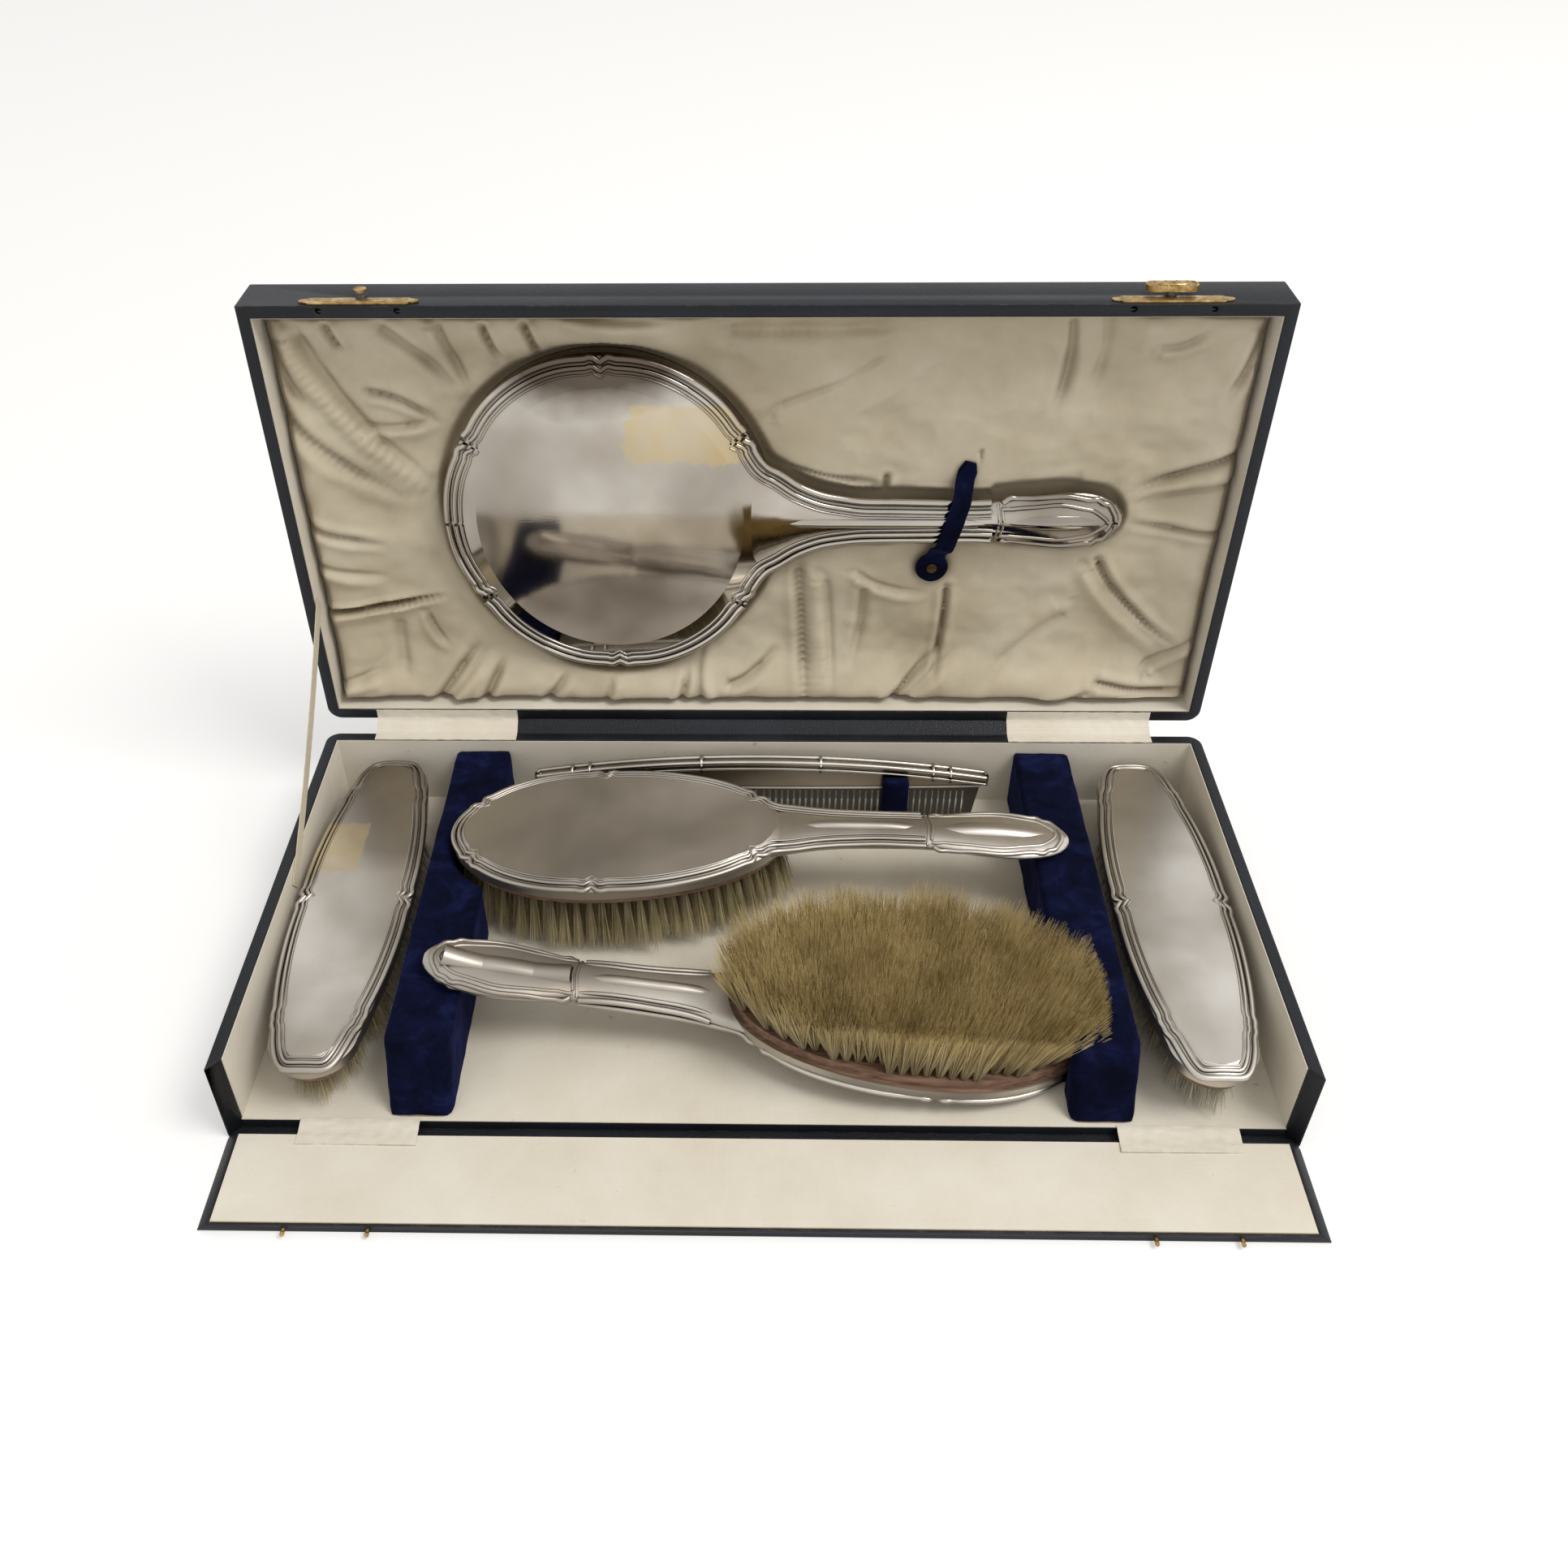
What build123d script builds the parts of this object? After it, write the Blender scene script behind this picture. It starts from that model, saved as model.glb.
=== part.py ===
from build123d import *
import math
import os

# A fitted dressing case, standing open: tray, hinged lid, drop-front flap and the silver-backed
# set that it holds. Millimetres. The origin is the centre of the tray's underside, +X is to the
# right, +Y to the hinge side and +Z up.

# ---------------------------------------------------------------- driving dimensions
# hair brushes (two alike)
HAIR_BRUSH_LENGTH = 260.0
HAIR_HEAD_LENGTH = 142.0
HAIR_HEAD_WIDTH = 75.0
HAIR_HEAD_BLUNT = 62.0  # the head is widest at this distance from its tip
HAIR_NECK_WIDTH = 28.0
HAIR_WAIST_WIDTH = 19.0
HAIR_PADDLE_WIDTH = 27.0
HAIR_BRUSH_HEIGHT = 37.0
HAIR_HANDLE_DEPTH = 8.0
HAIR_PADDLE_LENGTH = 62.0
HAIR_FLARE = 0.611  # share of the bare handle in which the neck narrows
HAIR_HANDLE_DROP = 0.8  # handle's top below the crown
HAIR_HANDLE_BOW = 8.0  # how far its end bends towards the bristles

# clothes brushes (two alike)
CLOTHES_BRUSH_LENGTH = 178.0
CLOTHES_BRUSH_WIDTH = 46.4
CLOTHES_BRUSH_HEIGHT = 28.0

# what every brush is built of
BACK_DEPTH = 7.0  # silver back, crown to lower edge
CROWN_HEIGHT = 2.6
CROWN_INSET = 5.0
SILVER = 0.8  # silver sheet
STOCK_SHOW = 4.0  # wood that shows below the silver
STOCK_INSET = 2.2
BRISTLE_INSET = 3.2  # bristle block inside the wood's edge, at its root
BRISTLE_FLARE = 1.6  # how far the tips spread outside the root

# hand mirror
MIRROR_LENGTH = 285.0
MIRROR_HEAD_LENGTH = 138.0
MIRROR_HEAD_WIDTH = 148.0
MIRROR_NECK_WIDTH = 47.0
MIRROR_WAIST_WIDTH = 16.8
MIRROR_PADDLE_WIDTH = 26.0
MIRROR_PADDLE_LENGTH = 54.0
MIRROR_FLARE = 0.386
MIRROR_THICKNESS = 12.0
MIRROR_CROWN = 2.5
MIRROR_EDGE = 3.5  # depth of the silver's upright edge
MIRROR_HANDLE_DEPTH = 8.0
MIRROR_HANDLE_DROP = 0.6  # handle's top below the crown
CROWN_RUN = 12.5  # width of the slope from the mirror's crown to its edge
GLASS_THICKNESS = 3.0
BEZEL_WIDTH = 5.0
BEZEL_LIP = 1.5
BEZEL_SHEET = 0.8
MIRROR_SHIFT = 9.25  # the mirror's middle is this far right of the case's middle

# comb
COMB_LENGTH = 206.0
COMB_HEIGHT = 32.0
COMB_THICKNESS = 2.6
COMB_MOUNT_THICKNESS = 5.0
COMB_MOUNT_HEIGHT = 15.0
COMB_ARCH = 9.0  # rise of the mount from its ends to its middle
COMB_FINE_TEETH = 34
COMB_COARSE_TEETH = 20
COMB_TOOTH_GAP = 1.0

# case construction: wood boards, leathercloth outside, paper and silk inside
COVER = 0.8
BOARD = 4.0
LINING = 0.4
FLAP_BOARD = 3.2
CORNER_RADIUS = 6.0
LID_EDGE_RADIUS = 5.0
RIM_ROUND = 0.6
LINING_DROP = 0.5  # the lining stops this far below a rim
LINING_MARGIN = 1.0  # the flap's lining stops this far inside its edge

# fit of the contents in the case
REST_GAP = 0.3  # between things that lie on each other
FRONT_BRUSH_SHIFT = 2.0  # front hair brush's middle is this far left of the case's middle
REAR_BRUSH_SHIFT = 0.6
SIDE_PLAY = 4.2  # clothes brush to its walls
END_PLAY = 2.0  # clothes brush to the flap
FRONT_BRUSH_GAP = 3.2
BRUSH_ROW_GAP = 7.0  # between the two hair brushes' rows
BRUSH_TO_POST = 7.0
COMB_SLOT = 7.0
COMB_BACK_GAP = 6.8
BRUSH_PROUD = 3.0  # hair brushes stand this far above the tray's rim
MIRROR_RECESS = 7.0  # mirror's crown behind the lid's rim
MIRROR_BED = 1.8
MIRROR_PLAY = 2.0
PAD_RECESS = 15.6  # silk pad's face behind the lid's rim

# velvet-covered racks and posts
RACK_WIDTH = 25.0
RACK_OVERLAP = 2.5  # racks' middles lie this far inside the hair brushes' ends
RACK_DROP = 5.0  # rack top below the tray's rim
RACK_RAKE = 11.0
RACK_FRONT_GAP = 0.9
RACK_PLAY = 1.6
RACK_END_ROUND = 4.0
VELVET = 0.9
POST_WIDTH = 12.0
POST_THICKNESS = 5.0
POST_HEIGHT = 26.0
POST_ROUND = 2.0
POST_SPACING = 122.0
FRONT_BRUSH_TURN = 1.8  # degrees that the front hair brush lies askew

# lid hinge: a flexible spine with two cloth tabs
LID_GAP = 0.3
HINGE_BACK = 5.0
HINGE_DROP = 0.8
SPINE_END_GAP = 22.5
SPINE_GLUED = 8.0
TAB_WIDTH = 65.0
TAB_FROM_END = 55.0  # tab centre to the case's end
CLOTH = 0.4

# flap hinge
FLAP_RISE = 0.4
FLAP_GAP = 0.4
MITRE_GAP = 0.4
STRIP_END_GAP = 8.0
FLAP_TAB_WIDTH = 46.0
FLAP_TAB_FROM_END = 47.0
FLAP_TAB_REACH = 6.0
FLAP_TAB_TUCK = 0.6

# catches in the lid's front wall, and the pins on the flap that they hold
CATCH_FROM_END = 46.5  # catch centre to the case's end
PLATE_LENGTH = 46.0
PLATE_WIDTH = 5.4
PLATE_THICKNESS = 0.8
PLATE_RISE = 0.9  # plate's lower edge above the lid's rim
PIN_SPREAD = 30.0
PIN_RADIUS = 0.8
PIN_DEPTH = 2.0
PIN_RISE = 3.0
PIN_INSET = 2.0  # pin's centre behind the front
PIN_PLAY = 0.5
PIN_TIP = 0.4
GROOVE_DEPTH = 0.5
GROOVE_HEIGHT = 1.2
GROOVE_RISE = 1.2  # groove's lower edge above the lid's rim
TONGUE_WIDTH = 4.0
TONGUE_PLAY = 0.2
BLADE = 0.5
BLADE_MARGIN = 2.5
BLADE_GAP = 0.2  # blade to pin
CATCH_TRAVEL = 0.6
CATCH_PLAY = 0.1
SHOULDER = 20.0  # width of the wood that the blade stops against
STEM_RADIUS = 1.5
STEM_PLAY = 0.05
STEM_RISE = 8.6
BUTTON_LENGTH = 20.0
BUTTON_WIDTH = 6.4
BUTTON_THICKNESS = 2.0
BUTTON_STAND = 1.6
STUD_HEAD_RADIUS = 2.5
STUD_HEAD_THICKNESS = 1.0
SPRING_SHEET = 0.35

# strap that holds the mirror's handle
STRAP_SHARE = 0.74825  # of the mirror's length, from its head's tip
STRAP_LENGTH = 52.0
STRAP_WIDTH = 8.0
STRAP_THICKNESS = 1.2
STRAP_SLANT = 13.9  # degrees
STRAP_SLOPE = 8.0  # length of each sloping part
STRAP_CLEAR = 0.6
STRAP_END_RADIUS = 7.0
SNAP_RADIUS = 2.2
SNAP_HEIGHT = 1.0
SOCKET_RADIUS = 3.2
SOCKET_DEPTH = 1.4

# ribbon that stops the lid
RIBBON_WIDTH = 6.5
RIBBON_THICKNESS = 0.4
RIBBON_ON_LID = 62.0  # from the lid's hinge edge
RIBBON_IN_LID = 4.0
RIBBON_ON_TRAY = 88.0  # in front of the tray's back lining
RIBBON_BELOW_RIM = 9.0
RIBBON_SAG = 3.0

# ---------------------------------------------------------------- worked out from them
shell = COVER + BOARD
wall = shell + LINING
floor_top = wall
flap_thickness = COVER + FLAP_BOARD + LINING
flap_depth = flap_thickness + FLAP_GAP

rack_middle = HAIR_BRUSH_LENGTH / 2 - RACK_OVERLAP
rack_inner = rack_middle - RACK_WIDTH / 2
rack_outer = rack_middle + RACK_WIDTH / 2
side_room = CLOTHES_BRUSH_WIDTH + 2 * SIDE_PLAY
half_width = rack_outer + side_room + wall
catch_centre = half_width - CATCH_FROM_END
tab_centre = half_width - TAB_FROM_END
flap_tab_centre = half_width - FLAP_TAB_FROM_END
spine_reach = half_width - SPINE_END_GAP
mirror_start = MIRROR_SHIFT - MIRROR_LENGTH / 2
strap_x = mirror_start + MIRROR_LENGTH * STRAP_SHARE

hair_rows = 2 * HAIR_HEAD_WIDTH + BRUSH_ROW_GAP + FRONT_BRUSH_GAP
comb_row = BRUSH_TO_POST + POST_THICKNESS + COMB_SLOT + COMB_BACK_GAP
inner_depth = max(hair_rows + comb_row, CLOTHES_BRUSH_LENGTH + 2 * END_PLAY)
half_depth = (flap_depth + inner_depth + wall) / 2
front = -half_depth
back = half_depth
floor_front = front + flap_depth
lining_back = back - wall

tray_height = floor_top + REST_GAP + HAIR_BRUSH_HEIGHT - BRUSH_PROUD
rack_top = tray_height - RACK_DROP
lid_height = wall + MIRROR_RECESS + MIRROR_THICKNESS + MIRROR_BED
lid_rim = tray_height + LID_GAP
lid_inside = lid_rim + lid_height - shell

hinge_y = back + HINGE_BACK
hinge_z = tray_height - HINGE_DROP
open_rim_y = hinge_y + lid_rim - hinge_z
open_low_z = hinge_z + HINGE_BACK
hinge_axis = Axis((0, hinge_y, hinge_z), (1, 0, 0))
flap_axis = Axis((0, front, 0), (1, 0, 0))

pin_y = front + PIN_INSET
blade_y = pin_y + PIN_RADIUS + BLADE_GAP
pocket_y = blade_y + BLADE + CATCH_TRAVEL + CATCH_PLAY
stem_z = lid_rim + STEM_RISE
groove_z = lid_rim + GROOVE_RISE


# ---------------------------------------------------------------- shared shapes
def block(x0, x1, y0, y1, z0, z1):
    """A box between two corners."""
    box = Box(x1 - x0, y1 - y0, z1 - z0)
    return Pos((x0 + x1) / 2, (y0 + y1) / 2, (z0 + z1) / 2) * box


def prism(points, z0, z1):
    """An upright prism on a polygon."""
    face = make_face(Polyline(*points, close=True))
    return Pos(0, 0, z0) * extrude(face, z1 - z0)


def strip(profile, x0, x1):
    """A profile given as (y, z) points, drawn along X."""
    face = Plane.YZ * make_face(Polyline(*profile, close=True))
    return Pos(x0, 0, 0) * extrude(face, x1 - x0)


def rod(radius, start, length, direction):
    """A round bar from a point along a direction."""
    return Plane(origin=start, z_dir=direction) * extrude(Circle(radius), length)


def stadium(length, width, start, depth, direction):
    """A slab with round ends, long along X."""
    plane = Plane(origin=start, x_dir=(1, 0, 0), z_dir=direction)
    return plane * extrude(SlotOverall(length, width), depth)


def oval(length, width, grow=0.0, z=0.0):
    """Elliptical face with its left end at x = 0, pushed outwards by grow."""
    return Pos(length / 2, 0, z) * Ellipse(length / 2 + grow, width / 2 + grow)


def egg(length, width, blunt, grow=0.0, z=0.0):
    """Oval face, widest at x = blunt, with its left end at x = 0."""
    high = width / 2 + grow
    return Pos(blunt, 0, z) * make_face([
        EllipticalCenterArc((0, 0), blunt + grow, high, 90, arc_size=180),
        EllipticalCenterArc((0, 0), length - blunt + grow, high, -90, arc_size=180),
    ])


def lozenge(length, width, grow=0.0, z=0.0):
    """Long face with bowed sides and round ends, its left end at x = 0."""
    end = width * 0.36
    side = end + grow
    near, far = end * 0.96, length - end * 0.96
    bow = width / 2 + grow
    return Pos(0, 0, z) * make_face([
        ThreePointArc((near, -side), (length / 2, -bow), (far, -side)),
        ThreePointArc((far, -side), (length + grow, 0), (far, side)),
        ThreePointArc((far, side), (length / 2, bow), (near, side)),
        ThreePointArc((near, side), (-grow, 0), (near, -side)),
    ])


def slab(face, depth):
    """Upright solid on a face."""
    return extrude(face, depth)


def stack(faces):
    """Solid with straight sides from face to face."""
    return loft(faces, ruled=True)


def save(name, shape):
    """Write one sub-part."""
    solids = shape.solids() if not isinstance(shape, list) else [s for p in shape for s in p.solids()]
    body = solids[0] if len(solids) == 1 else Compound(children=solids)
    export_step(body, f"parts/{name}.step")


# ---------------------------------------------------------------- handles
def handle_sections(length, head_length, neck, waist, paddle, paddle_length, depth, flare_share):
    """(distance, half width, half depth) from inside the head, past a waist, to the broad end."""
    bare = length - paddle_length * 0.9 - head_length
    flare = ((-0.68, 1.5), (-0.21, 1.45), (0, 1.0), (0.13, 0.75), (0.32, 0.43), (0.58, 0.17), (1.0, 0.03))
    rows = [(head_length + d * bare * flare_share, (waist + (neck - waist) * f) / 2, 0.5) for d, f in flare]
    start = rows[-1][0]
    gap = head_length + bare - start
    steps = int(gap / 15)
    rows += [(start + gap * (i + 1) / (steps + 1), waist / 2, 0.5) for i in range(steps)]
    broad = ((0.9, 0.37, 0.48), (0.7, 0.44, 0.46), (0.45, 0.5, 0.46), (0.2, 0.44, 0.42), (0.06, 0.28, 0.33))
    rows += [(length - paddle_length * f, paddle * w, d) for f, w, d in broad]
    rows.append((length, paddle * 0.1, 0.16))
    return [(u, half_width, depth * share) for u, half_width, share in rows]


def grip(sections, grow, middle, bow=0.0):
    """Handle through elliptical sections, its middle at z = middle, its end bowed down."""
    ends = []
    for i, (u, half_width, half_depth) in enumerate(sections):
        x = u + grow if i == len(sections) - 1 else u
        plane = Plane(origin=(x, 0, middle - bow * bend(u)), x_dir=(0, 1, 0), z_dir=(1, 0, 0))
        ends.append(plane * Ellipse(half_width + grow, half_depth + grow))
    return loft(ends)


def bend(u):
    """Share of the hair brush handle's bow at a distance along it."""
    start = HAIR_HEAD_LENGTH * 0.85
    return max(0.0, (u - start) / (HAIR_BRUSH_LENGTH - start)) ** 2


hair_sections = handle_sections(
    HAIR_BRUSH_LENGTH, HAIR_HEAD_LENGTH, HAIR_NECK_WIDTH, HAIR_WAIST_WIDTH, HAIR_PADDLE_WIDTH, HAIR_PADDLE_LENGTH,
    HAIR_HANDLE_DEPTH, HAIR_FLARE,
)
hair_middle = -HAIR_HANDLE_DROP - HAIR_HANDLE_DEPTH / 2
mirror_sections = handle_sections(
    MIRROR_LENGTH, MIRROR_HEAD_LENGTH, MIRROR_NECK_WIDTH, MIRROR_WAIST_WIDTH, MIRROR_PADDLE_WIDTH, MIRROR_PADDLE_LENGTH,
    MIRROR_HANDLE_DEPTH, MIRROR_FLARE,
)
mirror_middle = MIRROR_HANDLE_DROP + MIRROR_HANDLE_DEPTH / 2


# ---------------------------------------------------------------- brushes
def head_form(face, grow):
    """Domed back of a brush, its crown at z = grow."""
    levels = ((grow, -BACK_DEPTH), (grow, grow - CROWN_HEIGHT), (grow - CROWN_INSET, grow))
    return stack([face(g, z) for g, z in levels])


def brush_pieces(face, height, sections=None):
    """Silver back, wooden stock and bristle block of one brush, crown at z = 0, head at x = 0."""
    outer = head_form(face, 0.0)
    inner = head_form(face, -SILVER)
    if sections:
        below = slab(face(0.0, -3 * BACK_DEPTH), 2 * BACK_DEPTH)
        outer += grip(sections, 0.0, hair_middle, HAIR_HANDLE_BOW) - below
        inner += grip(sections, -SILVER, hair_middle, HAIR_HANDLE_BOW) - below
    wood_low = -BACK_DEPTH - STOCK_SHOW
    root = -STOCK_INSET - BRISTLE_INSET
    return {
        "silver_back": outer - inner,
        "stock": inner + slab(face(-STOCK_INSET, wood_low), STOCK_SHOW),
        "bristles": stack([face(root, wood_low), face(root + BRISTLE_FLARE, -height)]),
    }


def hair_face(grow, z):
    return egg(HAIR_HEAD_LENGTH, HAIR_HEAD_WIDTH, HAIR_HEAD_BLUNT, grow, z)


def clothes_face(grow, z):
    return lozenge(CLOTHES_BRUSH_LENGTH, CLOTHES_BRUSH_WIDTH, grow, z)


def save_brush(name, pieces, place):
    """Write a brush's three pieces where they lie."""
    for piece, shape in pieces.items():
        save(f"{name}_{piece}", place * shape)


def hair_half_depth(u):
    """Half depth of the hair brush handle at a distance along it."""
    for (u0, _, d0), (u1, _, d1) in zip(hair_sections, hair_sections[1:]):
        if u <= u1:
            return d0 + (d1 - d0) * (u - u0) / (u1 - u0)
    return hair_sections[-1][2]


def rest_tilt(height, side, reach):
    """Degrees by which a hair brush rises to its handle end, which lies from reach to its tip on a
    rack at this height above the crown. side is -1 if its underside lies there and 1 if its top does."""
    angles = []
    for i in range(9):
        u = reach + (HAIR_BRUSH_LENGTH - reach) * i / 8
        surface = hair_middle - HAIR_HANDLE_BOW * bend(u) + side * hair_half_depth(u)
        angles.append(math.degrees(math.atan((height + side * surface) / u)))
    return max(angles)


rear_brush_y = lining_back - comb_row - HAIR_HEAD_WIDTH / 2
front_brush_y = floor_front + FRONT_BRUSH_GAP + HAIR_HEAD_WIDTH / 2
shelf = rack_top + 1.5 * REST_GAP

# the rear brush stands on its bristles, its handle on the right rack
rear_crown = floor_top + REST_GAP + HAIR_BRUSH_HEIGHT
rear_tip_x = HAIR_BRUSH_LENGTH / 2 + REAR_BRUSH_SHIFT
rear_tilt = rest_tilt(shelf - rear_crown, -1, rear_tip_x + rack_inner)
rear_place = Pos(-rear_tip_x, rear_brush_y, rear_crown) * Rot(0, -rear_tilt, 0)

# the front one lies on its back, its handle on the left rack
front_crown = floor_top + REST_GAP
front_tip_x = HAIR_BRUSH_LENGTH / 2 - FRONT_BRUSH_SHIFT
front_tilt = rest_tilt(shelf - front_crown, 1, front_tip_x + rack_inner)
front_place = Pos(front_tip_x, front_brush_y, front_crown)
front_place = front_place * Rot(0, 0, -FRONT_BRUSH_TURN) * Rot(0, 180 + front_tilt, 0)

clothes_x = rack_outer + side_room / 2
clothes_y = floor_front + END_PLAY
clothes_crown = floor_top + REST_GAP + CLOTHES_BRUSH_HEIGHT


def make_brushes():
    hair = brush_pieces(hair_face, HAIR_BRUSH_HEIGHT, hair_sections)
    save_brush("rear_hair_brush", hair, rear_place)
    save_brush("front_hair_brush", hair, front_place)
    clothes = brush_pieces(clothes_face, CLOTHES_BRUSH_HEIGHT)
    for side, sign in (("left", -1), ("right", 1)):
        place = Pos(sign * clothes_x, clothes_y, clothes_crown) * Rot(0, 0, 90)
        save_brush(f"{side}_clothes_brush", clothes, place)


# ---------------------------------------------------------------- comb
def make_comb():
    y = lining_back - COMB_BACK_GAP - COMB_SLOT / 2
    low = floor_top + REST_GAP
    high = low + COMB_HEIGHT
    half = COMB_LENGTH / 2
    ends = high - COMB_ARCH
    band = high - COMB_MOUNT_HEIGHT
    arch = ThreePointArc((-half, ends), (0, high), (half, ends))
    under = ThreePointArc((half, ends - 4), (0, band), (-half, ends - 4))
    outline = make_face([arch, Line((half, ends), (half, ends - 4)), under, Line((-half, ends - 4), (-half, ends))])
    upright = Plane(origin=(0, y, 0), x_dir=(1, 0, 0), z_dir=(0, -1, 0))
    mount = upright * Pos(0, 0, -COMB_MOUNT_THICKNESS / 2) * extrude(outline, COMB_MOUNT_THICKNESS)
    rib = 3.0
    edge = half - rib
    top = ThreePointArc((-edge, ends - rib), (0, high - rib), (edge, ends - rib))
    sides = Polyline((edge, ends - rib), (edge - rib, low), (rib - edge, low), (-edge, ends - rib))
    plate = upright * Pos(0, 0, -COMB_THICKNESS / 2) * extrude(make_face([top, sides]), COMB_THICKNESS)
    gaps = []
    guard = edge - 2 * rib
    runs = ((-guard, 0.0, COMB_COARSE_TEETH), (0.0, guard, COMB_FINE_TEETH))
    for x0, x1, count in runs:
        pitch = (x1 - x0) / count
        for i in range(count):
            x = x0 + pitch * (i + 0.5)
            gap = block(x - COMB_TOOTH_GAP / 2, x + COMB_TOOTH_GAP / 2, y - COMB_THICKNESS,
                        y + COMB_THICKNESS, low - 1, band - 2)
            gaps.append(gap)
    teeth = plate - gaps
    save("comb_teeth", teeth)
    save("comb_mount", mount - plate)


# ---------------------------------------------------------------- tray
def footprint(inset):
    """Plan of the case with its two rounded back corners."""
    x = half_width - inset
    plan = make_face(Polyline((-x, front), (x, front), (x, back - inset), (-x, back - inset), close=True))
    corners = plan.vertices().group_by(Axis.Y)[-1]
    return fillet(corners, CORNER_RADIUS - inset)


def mitre_zone(depth, gap):
    """Plan of what the closed flap takes, with its 45 degree ends."""
    x = half_width + gap
    return [(-x - 1, front - 1), (x + 1, front - 1), (x - depth, front + depth), (-x + depth, front + depth)]


def tray_walls(inset, z0, z1):
    """The three walls as one form: full size, or inset all round for the boards."""
    x = half_width - shell
    plan = extrude(Pos(0, 0, z0) * footprint(inset), z1 - z0)
    plan -= block(-x, x, front - 1, back - shell, z0 - 1, z1 + 1)
    return plan - prism(mitre_zone(shell + 1, MITRE_GAP + inset * math.sqrt(2)), z0 - 1, z1 + 1)


def make_tray():
    x_board = half_width - shell
    y_board = back - shell
    outside = tray_walls(0.0, COVER, tray_height)
    rim_edges = outside.edges().filter_by_position(Axis.Z, tray_height, tray_height)
    outside = fillet(rim_edges, RIM_ROUND)
    boards = tray_walls(COVER, COVER, tray_height - COVER)
    save("tray_cover", outside - boards)
    save("back_board", boards & block(-half_width, half_width, y_board, back, 0, tray_height))
    save("left_side_board", boards & block(-half_width, 0, front, y_board, 0, tray_height))
    save("right_side_board", boards & block(0, half_width, front, y_board, 0, tray_height))

    base = extrude(footprint(0.0), COVER) - prism(mitre_zone(flap_depth, MITRE_GAP), -1, COVER + 1)
    lip = block(-x_board, x_board, floor_front, floor_front + COVER, COVER, shell)
    save("base_cover", base + lip)
    save("floor_board", block(-x_board, x_board, floor_front + COVER, y_board, COVER, shell))
    save("floor_lining", block(-x_board, x_board, floor_front, y_board, shell, floor_top))

    top = tray_height - LINING_DROP
    x_lined = half_width - wall
    start = front + wall + MITRE_GAP
    save("wall_lining", [
        block(-x_board, -x_lined, start, y_board, floor_top, top),
        block(x_lined, x_board, start, y_board, floor_top, top),
        block(-x_lined, x_lined, lining_back, y_board, floor_top, top),
    ])


def rack_form(side, inset):
    """A rack with the scoop for the head of the brush that points at it."""
    y0 = floor_front + RACK_FRONT_GAP + inset
    y1 = lining_back - REST_GAP - inset
    top = rack_top - inset
    profile = [(y0, floor_top), (y1, floor_top), (y1, top), (y0 + RACK_RAKE, top)]
    form = strip(profile, rack_inner + inset, rack_outer - inset)
    slopes = [e for e in form.edges() if abs(e.center().Y - (y0 + RACK_RAKE / 2)) < 0.1
              and abs(e.center().Z - (floor_top + top) / 2) < 0.1]
    form = fillet(slopes, RACK_END_ROUND)
    scoop = slab(hair_face(RACK_PLAY + inset, floor_top - 1), tray_height)
    if side < 0:
        place = Pos(rear_tip_x, rear_brush_y, 0) * Rot(0, 0, 180)
        return mirror(form - place * scoop, Plane.YZ)
    place = Pos(front_tip_x, front_brush_y, 0) * Rot(0, 0, 180 - FRONT_BRUSH_TURN)
    return form - place * scoop


def make_racks():
    for side, sign in (("left", -1), ("right", 1)):
        core = rack_form(sign, VELVET)
        save(f"{side}_rack_block", core)
        save(f"{side}_rack_velvet", rack_form(sign, 0.0) - core)
    y1 = lining_back - COMB_BACK_GAP - COMB_SLOT
    posts = []
    for x in (-POST_SPACING / 2, POST_SPACING / 2):
        post = block(x - POST_WIDTH / 2, x + POST_WIDTH / 2, y1 - POST_THICKNESS, y1,
                     floor_top, floor_top + POST_HEIGHT)
        posts.append(fillet(post.edges().group_by(Axis.Z)[-1], POST_ROUND))
    save("comb_posts", posts)


# ---------------------------------------------------------------- lid, drawn closed
def lid_form(inset):
    """Outside of the lid, inset all round, with its edges rounded over."""
    z0 = lid_rim + inset
    z1 = lid_rim + lid_height - inset
    y0 = front + inset
    form = extrude(Pos(0, 0, z0) * footprint(inset), z1 - z0) - block(
        -half_width, half_width, front - 1, y0, z0 - 1, z1 + 1)
    top_edges = form.edges().group_by(Axis.Z)[-1]
    return fillet(top_edges, LID_EDGE_RADIUS - inset)


def lid_opened(shape):
    return shape.rotate(hinge_axis, -90)


def catch_holes():
    """Pockets for both catches, their stem holes and the pins' holes in the rim."""
    holes = []
    reach = PIN_SPREAD / 2 + BLADE_MARGIN + PIN_PLAY
    top = stem_z + BLADE_MARGIN + PIN_PLAY
    for sign in (-1, 1):
        x = sign * catch_centre
        holes.append(block(x - reach, x + reach, blade_y, pocket_y, lid_rim + COVER, top))
        holes.append(rod(STEM_RADIUS + STEM_PLAY, (x, front - 5, stem_z), blade_y - front + 5.1, (0, 1, 0)))
        for side in (-1, 1):
            near, far = x + side * SHOULDER / 2, x + side * reach
            well = block(min(near, far), max(near, far), pin_y - PIN_RADIUS - BLADE_GAP, blade_y,
                         lid_rim + COVER, lid_rim + PIN_RISE + 2 * PIN_PLAY)
            start = (x + side * PIN_SPREAD / 2, pin_y, lid_rim - 1)
            holes += [well, rod(PIN_RADIUS + PIN_PLAY, start, COVER + 2, (0, 0, 1))]
    return holes


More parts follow.
